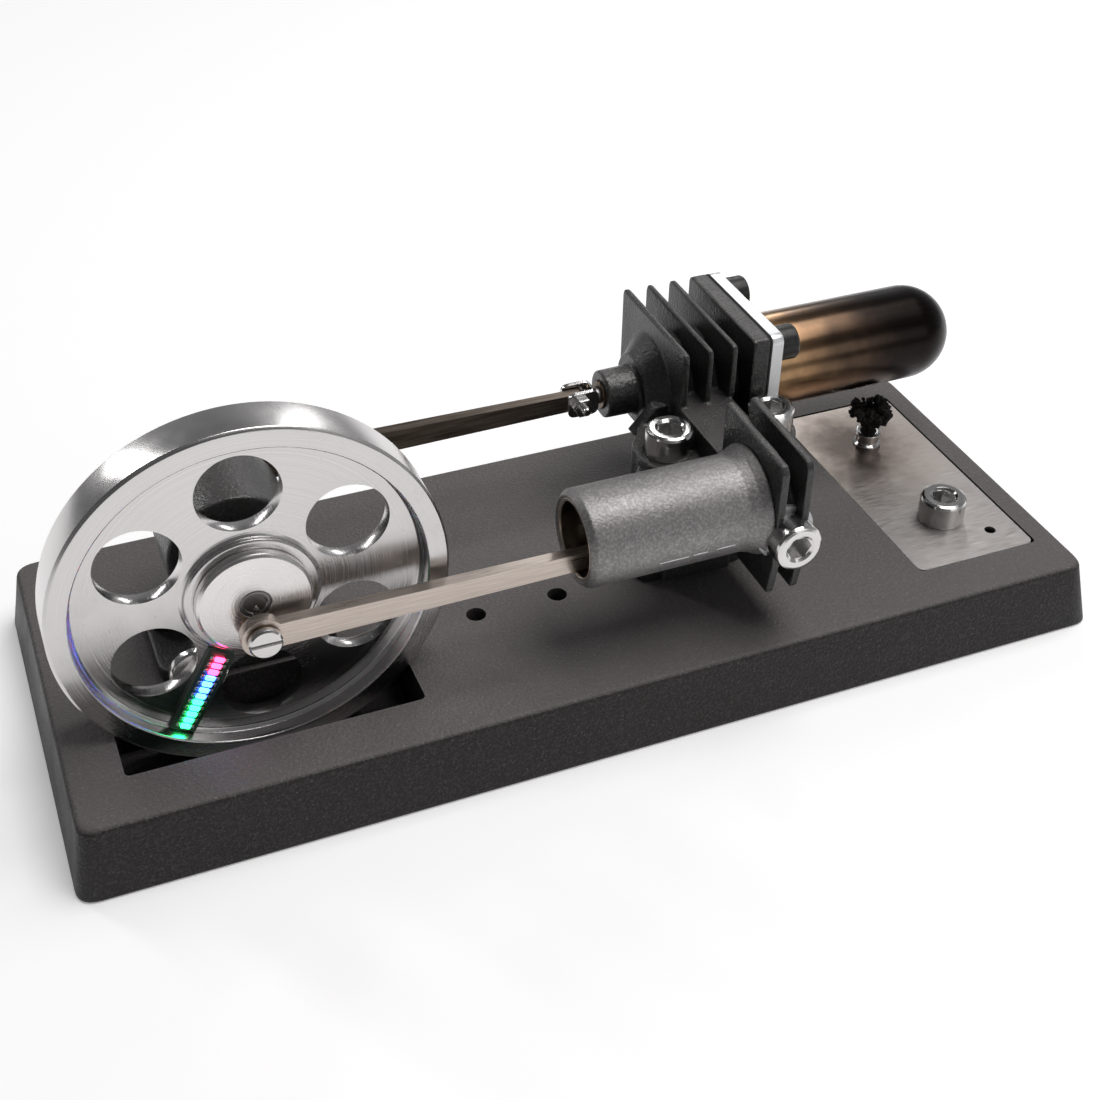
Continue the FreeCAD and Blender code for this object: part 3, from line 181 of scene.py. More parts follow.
class Paint:
    """A node material with a Principled shader and short calls for its textures."""

    def __init__(self, name, colour, roughness, metallic=0.0, **sockets):
        self.material = bpy.data.materials.new(name)
        self.material.use_nodes = True
        self.tree = self.material.node_tree
        self.shader = self.tree.nodes["Principled BSDF"]
        self.shader.inputs["Base Color"].default_value = (*colour, 1)
        self.shader.inputs["Roughness"].default_value = roughness
        self.shader.inputs["Metallic"].default_value = metallic
        for socket, value in sockets.items():
            self.shader.inputs[socket.replace("_", " ")].default_value = value
        self.bump_tail = None

    def node(self, kind, **props):
        made = self.tree.nodes.new("ShaderNode" + kind)
        for key, value in props.items():
            setattr(made, key, value)
        return made

    def feed(self, socket, value):
        if isinstance(value, bpy.types.NodeSocket):
            self.tree.links.new(value, socket)
        else:
            socket.default_value = value

    def coords(self):
        """Object coordinates in metres."""
        return self.node("TexCoord").outputs["Object"]

    def noise(self, size_mm, stretch=(1, 1, 1), detail=3.0):
        mapping = self.node("Mapping")
        mapping.inputs["Scale"].default_value = stretch
        self.feed(mapping.inputs["Vector"], self.coords())
        made = self.node("TexNoise")
        made.inputs["Scale"].default_value = 1000.0 / size_mm
        made.inputs["Detail"].default_value = detail
        made.inputs["Roughness"].default_value = 0.55
        self.feed(made.inputs["Vector"], mapping.outputs["Vector"])
        return made.outputs["Fac"]

    def ramp(self, fac, stops):
        made = self.node("ValToRGB")
        ramp = made.color_ramp
        while len(ramp.elements) < len(stops):
            ramp.elements.new(0.5)
        for element, (spot, colour) in zip(ramp.elements, stops):
            element.position = spot
            element.color = (*colour, 1) if isinstance(colour, tuple) else (colour, colour, colour, 1)
        self.feed(made.inputs["Fac"], fac)
        return made.outputs["Color"]

    def math(self, operation, first, second):
        made = self.node("Math", operation=operation)
        for socket, value in zip(made.inputs, (first, second)):
            self.feed(socket, value)
        return made.outputs[0]

    def spread(self, value, from_low, from_high, to_low, to_high):
        made = self.node("MapRange")
        for name, number in (("Value", value), ("From Min", from_low), ("From Max", from_high),
                             ("To Min", to_low), ("To Max", to_high)):
            self.feed(made.inputs[name], number)
        return made.outputs["Result"]

    def blend(self, fac, first, second):
        """Mix of two colours; 6, 7 and 2 are the colour sockets of the Mix node."""
        made = self.node("Mix", data_type="RGBA")
        self.feed(made.inputs["Factor"], fac)
        for socket, tone in ((6, first), (7, second)):
            self.feed(made.inputs[socket], (*tone, 1) if isinstance(tone, tuple) else tone)
        return made.outputs[2]

    def axis(self, letter):
        split = self.node("SeparateXYZ")
        self.feed(split.inputs[0], self.coords())
        return split.outputs[letter]

    def rings(self, pitch_mm):
        """Noise that changes only with the distance from the object's Z axis, as turning leaves it."""
        flat = self.node("VectorMath", operation="MULTIPLY")
        flat.inputs[1].default_value = (1, 1, 0)
        self.feed(flat.inputs[0], self.coords())
        length = self.node("VectorMath", operation="LENGTH")
        self.feed(length.inputs[0], flat.outputs[0])
        made = self.node("TexNoise", noise_dimensions="1D")
        made.inputs["Scale"].default_value = 1000.0 / pitch_mm
        made.inputs["Detail"].default_value = 2.0
        self.feed(made.inputs["W"], length.outputs["Value"])
        return made.outputs["Fac"]

    def edges(self):
        """Mask of the rubbed edges: where a rounding of half a millimetre would turn the surface."""
        rounded = self.node("Bevel", samples=4)
        rounded.inputs["Radius"].default_value = 0.5 * MM
        geometry = self.node("NewGeometry")
        turned = self.node("VectorMath", operation="DOT_PRODUCT")
        self.tree.links.new(rounded.outputs["Normal"], turned.inputs[0])
        self.tree.links.new(geometry.outputs["True Normal"], turned.inputs[1])
        return self.spread(turned.outputs["Value"], 0.995, 0.85, 0.0, 1.0)

    def bump(self, height, depth_mm):
        made = self.node("Bump")
        made.inputs["Distance"].default_value = depth_mm * MM
        self.feed(made.inputs["Height"], height)
        if self.bump_tail is not None:
            self.feed(made.inputs["Normal"], self.bump_tail)
        self.bump_tail = made.outputs["Normal"]
        self.feed(self.shader.inputs["Normal"], self.bump_tail)
        return self

    def colour(self, value):
        self.feed(self.shader.inputs["Base Color"], value)

    def rough(self, value):
        self.feed(self.shader.inputs["Roughness"], value)


def shade(colour, factor):
    return tuple(min(1, part * factor) for part in colour)


# The first colour is dust and painted top light for faces that look up. The second lightens raised grain
# tips: partly grain tone, partly a painted highlight that is strongest on upward faces.
DUST_AND_TOP_LIGHT, GRAIN_TIP = (0.142, 0.132, 0.130), (0.16, 0.152, 0.15)
GLINT, RUBBED = (0.36, 0.35, 0.35), (0.24, 0.235, 0.23)


def powder_coat(name, base, light, dust_and_top_light, grain_mm, relief, gloss, metallic, sheen):
    """Dark textured coat: a pebbled grain, rubbed edges, painted glints, and a film of dust with painted top
    light, so that what faces up is painted lighter.
    """
    paint = Paint(name, base, 0.5, metallic, Specular_IOR_Level=sheen)
    patches = paint.noise(14.0, detail=4.0)
    grain = paint.noise(grain_mm, detail=2.0)
    glints = paint.ramp(paint.noise(0.33, detail=1.0), [(0.63, 0.0), (0.76, 1.0)])
    facing = paint.node("SeparateXYZ")
    paint.feed(facing.inputs[0], paint.node("NewGeometry").outputs["Normal"])
    # Upward faces are painted lighter, dust together with painted top light; this weight also strengthens the
    # painted grain highlights and glints.
    upward = paint.spread(facing.outputs["Z"], 0.6, 0.98, 0.0, dust_and_top_light)
    top_light_weight = paint.math("ADD", paint.math("MULTIPLY", upward, 0.35), 0.16)
    raised = paint.math("MULTIPLY", paint.spread(grain, 0.45, 0.75, 0.0, 1.0), top_light_weight)
    tone = paint.blend(upward, paint.blend(patches, base, light), DUST_AND_TOP_LIGHT)
    tone = paint.blend(raised, tone, GRAIN_TIP)
    tone = paint.blend(paint.math("MULTIPLY", glints, top_light_weight), tone, GLINT)
    paint.colour(paint.blend(paint.math("MULTIPLY", paint.edges(), 0.35), tone, RUBBED))
    paint.rough(paint.spread(patches, 0.3, 0.7, 0.38 - gloss, 0.56 - gloss))
    paint.bump(grain, relief).bump(paint.noise(2.6, detail=2.0), 0.06)
    return paint.material


def blasted_alloy():
    """Bead-blasted bare casting of the power barrel."""
    paint = Paint("blasted_alloy", (0.25, 0.25, 0.25), 0.4, 0.9)
    patches = paint.noise(9.0, detail=4.0)
    flecks = paint.noise(0.45, detail=2.0)
    tone = paint.blend(patches, (0.17, 0.165, 0.165), (0.27, 0.262, 0.26))
    tone = paint.blend(paint.spread(flecks, 0.42, 0.7, 0.0, 0.6), tone, (0.42, 0.41, 0.40))
    paint.colour(tone)
    paint.rough(paint.spread(patches, 0.3, 0.7, 0.46, 0.58))
    paint.bump(flecks, 0.07)
    return paint.material


def turned_steel(name, colour, roughness, pitch_mm=0.35):
    """Polished steel turned on a lathe: rings about the piece's own axis."""
    paint = Paint(name, colour, roughness, 1.0, Anisotropic=0.55)
    tangent = paint.node("Tangent", direction_type="RADIAL", axis="Z")
    paint.feed(paint.shader.inputs["Tangent"], tangent.outputs[0])
    rings = paint.rings(pitch_mm)
    smear = paint.noise(11.0, detail=4.0)
    paint.colour(paint.blend(rings, shade(colour, 0.86), shade(colour, 1.1)))
    paint.rough(paint.math("ADD", paint.spread(smear, 0.3, 0.7, roughness - 0.06, roughness + 0.08),
                           paint.spread(rings, 0.3, 0.7, -0.03, 0.05)))
    paint.bump(rings, 0.006)
    return paint.material


def plated(name):
    """Bright plated fastener with faint scratches and finger marks."""
    colour, roughness = (0.74, 0.73, 0.72), 0.14
    paint = Paint(name, colour, roughness, 1.0)
    scratches = paint.noise(0.5, stretch=(1, 8, 1), detail=3.0)
    smear = paint.noise(3.2, detail=3.0)
    paint.colour(paint.blend(smear, shade(colour, 0.82), colour))
    paint.rough(paint.spread(smear, 0.3, 0.7, roughness - 0.05, roughness + 0.13))
    paint.bump(scratches, 0.004)
    return paint.material


def black_oxide():
    paint = Paint("black_oxide", (0.02, 0.02, 0.02), 0.35, 0.6)
    wear = paint.math("MULTIPLY", paint.edges(), 0.5)
    paint.colour(paint.blend(wear, paint.blend(paint.noise(1.5), (0.012, 0.012, 0.012), (0.04, 0.039, 0.038)),
                             (0.22, 0.21, 0.2)))
    paint.rough(paint.spread(paint.noise(0.8), 0.3, 0.7, 0.28, 0.5))
    paint.bump(paint.noise(0.3), 0.01)
    return paint.material


def brushed(name, dark, light, along=(0.04, 1, 1), streak_mm=0.35, roughness=0.3, depth=0.006):
    """Metal rubbed in straight lines; the stretch is small along the lines."""
    paint = Paint(name, light, roughness, 1.0)
    streaks = paint.noise(streak_mm, stretch=along, detail=3.0)
    patches = paint.noise(10.0, detail=3.0)
    tone = paint.blend(paint.spread(streaks, 0.3, 0.7, 0.0, 1.0), dark, light)
    paint.colour(paint.blend(paint.math("MULTIPLY", patches, 0.35), tone, dark))
    paint.rough(paint.math("ADD", paint.spread(streaks, 0.3, 0.7, -0.06, 0.08), roughness))
    paint.bump(streaks, depth)
    return paint


def plain_rough(name, dark, light, roughness, size_mm=0.6, depth=0.02, metallic=0.0):
    paint = Paint(name, light, roughness, metallic)
    grain = paint.noise(size_mm, detail=3.0)
    paint.colour(paint.blend(grain, dark, light))
    paint.rough(paint.spread(grain, 0.3, 0.7, roughness - 0.07, roughness + 0.08))
    paint.bump(grain, depth)
    return paint.material


def heat_tint():
    """Steel tube coloured by the flame: straw and bronze near the clamp, nearly black at the dome."""
    paint = Paint("heat_tinted_steel", (0.2, 0.14, 0.1), 0.24, 1.0)
    along = paint.axis("Z")
    wander = paint.noise(9.0, detail=3.0)
    place = paint.math("ADD", paint.spread(along, 0.0, 0.045, 0.0, 1.0),
                       paint.spread(wander, 0.3, 0.7, -0.10, 0.10))
    tone = paint.ramp(place, [(0.0, (0.26, 0.17, 0.10)), (0.12, (0.34, 0.21, 0.11)),
                              (0.25, (0.19, 0.115, 0.065)), (0.38, (0.105, 0.068, 0.043)),
                              (0.52, (0.042, 0.029, 0.022)), (0.68, (0.014, 0.012, 0.011)),
                              (1.0, (0.009, 0.008, 0.008))])
    streaks = paint.noise(0.9, stretch=(1, 1, 0.06), detail=3.0)
    paint.colour(paint.blend(paint.math("MULTIPLY", streaks, 0.15), tone, (0.05, 0.032, 0.024)))
    paint.rough(paint.math("ADD", paint.spread(streaks, 0.3, 0.7, 0.19, 0.24),
                           paint.spread(along, 0.02, 0.045, 0.0, 0.08)))
    paint.bump(streaks, 0.0015)
    return paint.material


def lid_steel():
    """Brushed stainless lid with a warm stain and soot round the wick."""
    paint = brushed("lid_steel", (0.52, 0.485, 0.465), (0.68, 0.65, 0.63), along=(0.06, 1, 1),
                    streak_mm=0.22, roughness=0.38, depth=0.004)
    away = paint.node("VectorMath", operation="DISTANCE")
    away.inputs[1].default_value = (centre("wick_tube") + Vector((-3.5, 1.0, 0))) * MM
    paint.feed(away.inputs[0], paint.coords())
    ragged = paint.math("ADD", away.outputs["Value"], paint.spread(paint.noise(5.0), 0.3, 0.7, -0.003, 0.003))
    soot = paint.spread(ragged, 0.003, 0.013, 0.75, 0.0)
    stain = paint.spread(ragged, 0.006, 0.024, 0.5, 0.0)
    base = paint.shader.inputs["Base Color"].links[0].from_socket
    tone = paint.blend(stain, base, (0.42, 0.30, 0.22))
    paint.colour(paint.blend(soot, tone, (0.07, 0.055, 0.05)))
    return paint.material


def burnt_cotton():
    paint = Paint("burnt_cotton", (0.012, 0.010, 0.009), 0.95)
    lumps = paint.noise(0.7, detail=4.0)
    paint.colour(paint.ramp(lumps, [(0.3, (0.006, 0.005, 0.005)), (0.62, (0.02, 0.016, 0.014)),
                                    (0.8, (0.06, 0.045, 0.035))]))
    paint.bump(lumps, 0.2)
    return paint.material


def glowing(name, colour, strength):
    paint = Paint(name, colour, 0.25)
    paint.shader.inputs["Emission Color"].default_value = (*colour, 1)
    paint.shader.inputs["Emission Strength"].default_value = strength
    paint.bump(paint.noise(0.4), 0.004)
    return paint.material


# ---- mesh helpers ----------------------------------------------------------------------------

def new_object(name, mesh, matrix=None):
    piece = bpy.data.objects.new(name, mesh)
    bpy.context.scene.collection.objects.link(piece)
    if matrix is not None:
        piece.matrix_world = matrix
    return piece


def frame_at(spot, axis):
    """Local frame whose Z runs along a row axis; spot is in millimetres."""
    return Matrix.Translation(Vector(spot) * MM) @ TURN[axis]


def soften(points, radius, closed=True, steps=4):
    """Round every corner of a two-dimensional outline."""
    made, count = [], len(points)
    for index, here in enumerate(points):
        here = Vector(here)
        if not closed and index in (0, count - 1):
            made.append(here)
            continue
        before, after = Vector(points[index - 1]), Vector(points[(index + 1) % count])
        to_before, to_after = before - here, after - here
        reach = min(to_before.length, to_after.length) * 0.45
        if reach < 1e-6:
            made.append(here)
            continue
        angle = to_before.angle(to_after)
        if angle > math.radians(172):
            made.append(here)
            continue
        pull = min(radius / math.tan(angle / 2), reach)
        start, end = here + to_before.normalized() * pull, here + to_after.normalized() * pull
        for step in range(steps + 1):
            t = step / steps
            made.append(start * (1 - t) ** 2 + here * 2 * t * (1 - t) + end * t ** 2)
    return made


def circle(radius, count):
    return [(radius * math.cos(2 * math.pi * i / count), radius * math.sin(2 * math.pi * i / count))
            for i in range(count)]


def lathe(name, profile, spot, axis, segments=96, corner=0.2, closed=True, knurl=None):
    """Turned piece from (radius, height) points.  knurl is (low, high, tooth depth, smallest radius)."""
    points = soften(profile, corner, closed)
    work = bmesh.new()
    rings = []
    for radius, height in points:
        if radius < 1e-4:
            rings.append([work.verts.new((0, 0, height * MM))])
            continue
        ring = []
        for index in range(segments):
            turn = 2 * math.pi * index / segments
            size = radius
            if knurl and knurl[0] <= height <= knurl[1] and radius > knurl[3]:
                size -= knurl[2] * (index % 4 > 1)
            ring.append(work.verts.new((size * MM * math.cos(turn), size * MM * math.sin(turn), height * MM)))
        rings.append(ring)
    pairs = list(zip(rings, rings[1:] + rings[:1])) if closed else list(zip(rings, rings[1:]))
    for first, second in pairs:
        for index in range(segments):
            following = (index + 1) % segments
            corners = [first[index % len(first)], first[following % len(first)],
                       second[following % len(second)], second[index % len(second)]]
            unique = [c for i, c in enumerate(corners) if c not in corners[:i]]
            if len(unique) > 2:
                work.faces.new(unique)
    bmesh.ops.recalc_face_normals(work, faces=work.faces)
    return finish_mesh(name, work, frame_at(spot, axis))


def finish_mesh(name, work, matrix=None, smooth=True):
    mesh = bpy.data.meshes.new(name)
    work.to_mesh(mesh)
    work.free()
    if smooth is not None:
        for face in mesh.polygons:
            face.use_smooth = smooth
    return new_object(name, mesh, matrix)


def prism(name, outline, start, end, axis, spot):
    """Outline extruded along the local Z axis."""
    return loft(name, [(outline, start), (outline, end)], spot, axis)


def plate(name, outline, start, end, order):
    """Outline extruded between two planes; order puts depth, first and second in row order."""
    work = bmesh.new()
    near, far = ([work.verts.new([part * MM for part in order(depth, first, second)])
                  for first, second in outline] for depth in (start, end))
    return close_plate(name, work, near, far)


def plate_yz(name, outline, x0, x1):
    return plate(name, outline, x0, x1, lambda x, y, z: (x, y, z))


def plate_xz(name, outline, y0, y1):
    return plate(name, outline, y0, y1, lambda y, x, z: (x, y, z))


def plate_xy(name, outline, z0, z1):
    return plate(name, outline, z0, z1, lambda z, x, y: (x, y, z))


def close_plate(name, work, near, far):
    work.faces.new(near)
    work.faces.new(list(reversed(far)))
    for index in range(len(near)):
        following = (index + 1) % len(near)
        work.faces.new((near[index], far[index], far[following], near[following]))
    bmesh.ops.recalc_face_normals(work, faces=work.faces)
    return finish_mesh(name, work)


def block(name, lowest, highest):
    (x0, y0, z0), (x1, y1, z1) = lowest, highest
    return plate_xy(name, [(x0, y0), (x1, y0), (x1, y1), (x0, y1)], z0, z1)


def rod_shape(name, radius, start, end, spot, axis, segments=64):
    return prism(name, circle(radius, segments), start, end, axis, spot)


def apply_modifiers(piece):
    graph = bpy.context.evaluated_depsgraph_get()
    mesh = bpy.data.meshes.new_from_object(piece.evaluated_get(graph))
    piece.modifiers.clear()
    piece.data = mesh
    return piece


def subtract(piece, cutters):
    """Cut the cutters out of the piece and remove them."""
    for cutter in cutters:
        change = piece.modifiers.new("cut", "BOOLEAN")
        change.operation = "DIFFERENCE"
        change.solver = "MANIFOLD"
        change.object = cutter
    apply_modifiers(piece)
    for cutter in cutters:
        bpy.data.objects.remove(cutter)
    return piece


LARGE_FACE = 40 * MM * MM        # no facet of a curved surface is this large


def flat_faces(piece, axes="XYZ"):
    """Smooth shading except on large faces and on those square to the given local axes."""
    indices = ["XYZ".index(letter) for letter in axes]
    for face in piece.data.polygons:
        square = max(abs(face.normal[i]) for i in indices) > 0.9995
        face.use_smooth = not square and face.area < LARGE_FACE
    return piece


def smooth_all(piece):
    for face in piece.data.polygons:
        face.use_smooth = True
    return piece


def crisp(piece):
    """Smooth shading that stops at every edge sharper than 30 degrees."""
    smooth_all(piece).data.set_sharp_from_angle(angle=math.radians(30.0))
    return piece


def bevel(piece, width, segments=3, angle=32.0, flats="XYZ"):
    work = bmesh.new()
    work.from_mesh(piece.data)
    bmesh.ops.dissolve_limit(work, angle_limit=math.radians(0.6), verts=work.verts, edges=work.edges)
    work.to_mesh(piece.data)
    work.free()
    change = piece.modifiers.new("bevel", "BEVEL")
    change.width = width * MM
    change.segments = segments
    change.limit_method = "ANGLE"
    change.angle_limit = math.radians(angle)
    change.use_clamp_overlap = True
    apply_modifiers(piece)
    return flat_faces(piece, flats)


def join(name, parts):
    work = bmesh.new()
    for part in parts:
        shape = part.data.copy()
        shape.transform(part.matrix_world)
        work.from_mesh(shape)
        bpy.data.objects.remove(part)
    return finish_mesh(name, work, smooth=None)


def casting(name, parts, voxel, rounds=6, keep=0.5):
    """One cast skin over the parts: voxel union, softened so that inside corners get fillets."""
    piece = join(name, parts)
    union = piece.modifiers.new("union", "REMESH")
    union.mode = "VOXEL"
    union.voxel_size = voxel * MM
    union.use_smooth_shade = True
    softer = piece.modifiers.new("soften", "SMOOTH")
    softer.factor = 0.5
    softer.iterations = rounds
    fewer = piece.modifiers.new("fewer", "DECIMATE")
    fewer.ratio = keep
    return smooth_all(apply_modifiers(piece))


def wear(piece, node, paint):
    """Dress a piece, ride it on its node's body and let it stand for the node."""
    add_on(piece, node, paint)
    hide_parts(node)


def add_on(piece, node, paint):
    """A further detail of a node that another piece already stands for."""
    piece.data.materials.clear()
    piece.data.materials.append(paint)
    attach(piece, BODY_OF[node])


def dress(node, paint):
    """Give a carried-over CAD node its material."""
    mesh = frame["nodes"][node].data
    mesh.materials.clear()
    mesh.materials.append(paint)


def loft(name, layers, spot=(0, 0, 0), axis="+Z"):
    """Solid skinned through (outline, height) layers whose outlines have equal numbers of points."""
    work = bmesh.new()
    rows = [[work.verts.new((u * MM, v * MM, height * MM)) for u, v in outline] for outline, height in layers]
    work.faces.new(list(reversed(rows[0])))
    work.faces.new(rows[-1])
    for near, far in zip(rows, rows[1:]):
        for index in range(len(near)):
            following = (index + 1) % len(near)
            work.faces.new((near[index], near[following], far[following], far[index]))
    bmesh.ops.recalc_face_normals(work, faces=work.faces)
    return finish_mesh(name, work, frame_at(spot, axis))


def round_box(x0, y0, x1, y1, radius, steps=5):
    return soften([(x0, y0), (x1, y0), (x1, y1), (x0, y1)], radius, steps=steps)


# ---- base casting and spirit tank ------------------------------------------------------------

BASE_SLOPE = math.tan(math.radians(10.8))
BASE_CORNER, BASE_EDGE = 3.5, 1.2
WELL = ((-80.9, -24.9), (-32.4, -7.9))
WELL_FLOOR, TANK_FLOOR, TANK_WALL = 1.2, 3.0, 2.6
STUD_HOLES = ((-17.7, -8.0), (-2.6, -8.0))
STUD_R = 1.75
VENT = (79.5, -19.4, 1.05)       # x, y and radius
WICK_WIDE, WICK_TALL = 4.0, 5.6


def make_base(coat):
    near, far = low("base_plinth"), high("base_plinth")

    def layer(inset, height):
        return round_box(near.x + inset, near.y + inset, far.x - inset, far.y - inset, BASE_CORNER, 7), height

    layers = [layer(0.3, 0.0), layer(0.07, 0.3)]
    straight = BASE_TOP - BASE_EDGE
    layers.append(layer(BASE_SLOPE * straight, straight))
    for step in range(1, 7):
        turn = math.radians(15 * step)
        layers.append(layer(BASE_SLOPE * straight + BASE_EDGE * (1 - math.cos(turn)),
                            straight + BASE_EDGE * math.sin(turn)))
    base = loft("base", layers)
    (x0, y0), (x1, y1) = WELL
    lid_low, lid_high = low("tank_lid"), high("tank_lid")
    gap = 0.25
    seat = low("tank_gasket").z
    cutters = [plate_xy("well", round_box(x0, y0, x1, y1, 1.0), WELL_FLOOR, BASE_TOP + 2),
               plate_xy("recess", round_box(lid_low.x - gap, lid_low.y - gap, lid_high.x + gap,
                                            lid_high.y + gap, 1.0), seat, BASE_TOP + 2),
               plate_xy("tank", round_box(lid_low.x + TANK_WALL, lid_low.y + TANK_WALL,
                                          lid_high.x - TANK_WALL, lid_high.y - TANK_WALL, 2.0),
                        TANK_FLOOR, BASE_TOP + 1)]
    cutters += [rod_shape("hole", STUD_R, -1, BASE_TOP + 1, (x, y, 0), "+Z", 40) for x, y in STUD_HOLES]
    subtract(base, cutters)
    bevel(base, 0.3, 2)
    wear(base, "base_plinth", coat)


def make_tank(lid_paint, bright, char):
    lid_low, lid_high = low("tank_lid"), high("tank_lid")
    outline = round_box(lid_low.x, lid_low.y, lid_high.x, lid_high.y, 1.6)
    lid = plate_xy("lid", outline, lid_low.z, lid_high.z)
    filler, wick = centre("filler_screw"), centre("wick_tube")
    holes = [rod_shape("hole", radius, lid_low.z - 1, lid_high.z + 1, (x, y, 0), "+Z", 48)
             for x, y, radius in ((filler.x, filler.y, BRIGHT_HOLE), (wick.x, wick.y, 2.05), VENT)]
    subtract(lid, holes)
    bevel(lid, 0.14, 2)
    wear(lid, "tank_lid", lid_paint)

    seat = (filler.x, filler.y, lid_high.z)
    wear(socket_screw("filler_screw_piece", seat, "+Z", BRIGHT_SCREW, 7.0), "filler_screw", bright)

    foot, top = low("wick_tube").z, high("wick_tube").z
    collar = lid_high.z
    tube = lathe("wick_tube_piece", [
        (1.58, foot), (2.0, foot), (2.0, collar - 0.05), (2.7, collar), (2.7, collar + 0.5),
        (2.15, collar + 0.9), (2.1, top - 0.9), (2.6, top - 0.35), (2.6, top - 0.1), (2.2, top), (1.58, top)],
        (wick.x, wick.y, 0), "+Z", 72, 0.15)
    wear(tube, "wick_tube", bright)
    make_wick(char, wick, top)


def make_wick(char, spot, top):
    """Burnt end of the wick: a goblet of charred clumps, ragged at the top."""
    dice = random.Random(11)
    foot, tall = top + 0.9, WICK_TALL
    work = bmesh.new()
    for segments, spread, depth, height in ((20, 1.5, 12.5, top - 5.0), (24, 3.0, 4.6, top + 2.4)):
        bmesh.ops.create_cone(work, cap_ends=True, segments=segments, radius1=1.5 * MM, radius2=spread * MM,
                              depth=depth * MM, matrix=Matrix.Translation((0, 0, height * MM)))
    for _ in range(150):
        share = dice.uniform(0.25, 1.0)
        wide = WICK_WIDE * min(1.0, max(0.35, (share - 0.1) * 2.6))
        turn, out = dice.uniform(0, 2 * math.pi), wide * math.sqrt(dice.uniform(0.2, 1.0))
        size = dice.uniform(0.4, 0.85)
        height = foot + tall * share * dice.uniform(0.9, 1)
        place = Vector((out * math.cos(turn), out * math.sin(turn), height)) * MM
        turned = Matrix.Translation(place) @ Matrix.Rotation(turn, 4, "Z")
        bmesh.ops.create_icosphere(work, subdivisions=2, radius=size * MM,
                                   matrix=turned @ Matrix.Diagonal((1.2, 0.75, 1.0, 1)))
    piece = finish_mesh("wick_piece", work, frame_at((spot.x, spot.y, 0), "+Z"))
    union = piece.modifiers.new("union", "REMESH")
    union.mode = "VOXEL"
    union.voxel_size = 0.15 * MM
    apply_modifiers(piece)
    for vertex in piece.data.vertices:
        if vertex.co.z > top * MM:
            away = Vector((vertex.co.x, vertex.co.y, 0.4 * (vertex.co.z - foot * MM)))
            rough = noise.turbulence(vertex.co * 1700, 4, False)
            vertex.co += away.normalized() * (rough - 0.9) * 0.5 * MM
    fibres = bmesh.new()
    fibres.from_mesh(piece.data)
    for _ in range(70):
        turn, lean = dice.uniform(0, 2 * math.pi), dice.uniform(0.1, 1.3)
        reach = dice.uniform(1.2, 3.1)
        height = foot + tall * 0.7 + dice.uniform(-1.2, 0.3)
        start = Vector((math.cos(turn) * reach, math.sin(turn) * reach, height))
        way = Vector((math.cos(turn) * math.cos(lean), math.sin(turn) * math.cos(lean), math.sin(lean)))
        bend = Vector((dice.uniform(-1, 1), dice.uniform(-1, 1), dice.uniform(-1, 1))) * 0.4
        length, last, count = dice.uniform(0.9, 1.7), None, 4
        for step in range(count + 1):
            t = step / count
            at = start + way * length * t + bend * t * t
            at.z = min(at.z, top + 7.9)
            flat = math.hypot(at.x, at.y)
            if flat > 4.3:
                at.x, at.y = at.x * 4.3 / flat, at.y * 4.3 / flat
            thick = 0.14 * (1 - 0.65 * t)
            side = way.orthogonal().normalized() * thick
            other = way.cross(side).normalized() * thick
            ring = [fibres.verts.new((at + a) * MM) for a in (side, other, -side, -other)]
            if last:
                for index in range(4):
                    fibres.faces.new((last[index], last[(index + 1) % 4], ring[(index + 1) % 4], ring[index]))
            last = ring
    fibres.to_mesh(piece.data)
    fibres.free()
    wear(smooth_all(piece), "wick", char)


# ---- fasteners -------------------------------------------------------------------------------

# Head radius, head height, shank radius, hexagon radius and whether the head is knurled.
BRIGHT_SCREW = (4.25, 5.0, 2.4, 2.3, False)
BLACK_SCREW = (3.2, 4.0, 1.7, 1.6, True)
BRIGHT_HOLE, BLACK_HOLE = 2.45, 1.75


def socket_screw(name, seat, axis, size, shank):
    """Cap screw whose head stands on the seat and points along the axis."""
    head_r, head, shank_r, hex_r, knurled = size
    edge = 0.13 * head
    mouth = hex_r + 0.32
    profile = [(0, -shank), (shank_r - 0.3, -shank), (shank_r, 0.3 - shank), (shank_r, 0), (head_r - 0.14, 0),
               (head_r, 0.14), (head_r, head - edge), (head_r - 0.35 * edge, head - 0.35 * edge),
               (head_r - edge, head), (mouth, head), (hex_r - 0.15, head - 0.42), (0, head - 0.42)]
    teeth = (0.2, head - edge - 0.05, 0.3, head_r * 0.97) if knurled else None
    screw = lathe(name, profile, seat, axis, 128 if knurled else 72, 0.07, False, teeth)
    socket = prism("socket", circle(hex_r, 6), 0.42 * head, head + 1, axis, seat)
    return crisp(subtract(screw, [socket]))


def screw_set(node, paint, spots, axis, size, shank):
    """Several equal screws that are one node."""
    screws = [socket_screw("%s_%d" % (node, index), spot, axis, size, shank)
              for index, spot in enumerate(spots)]
    wear(join(node + "_piece", screws), node, paint)


# ---- engine block, cylinders and hot cap -----------------------------------------------------

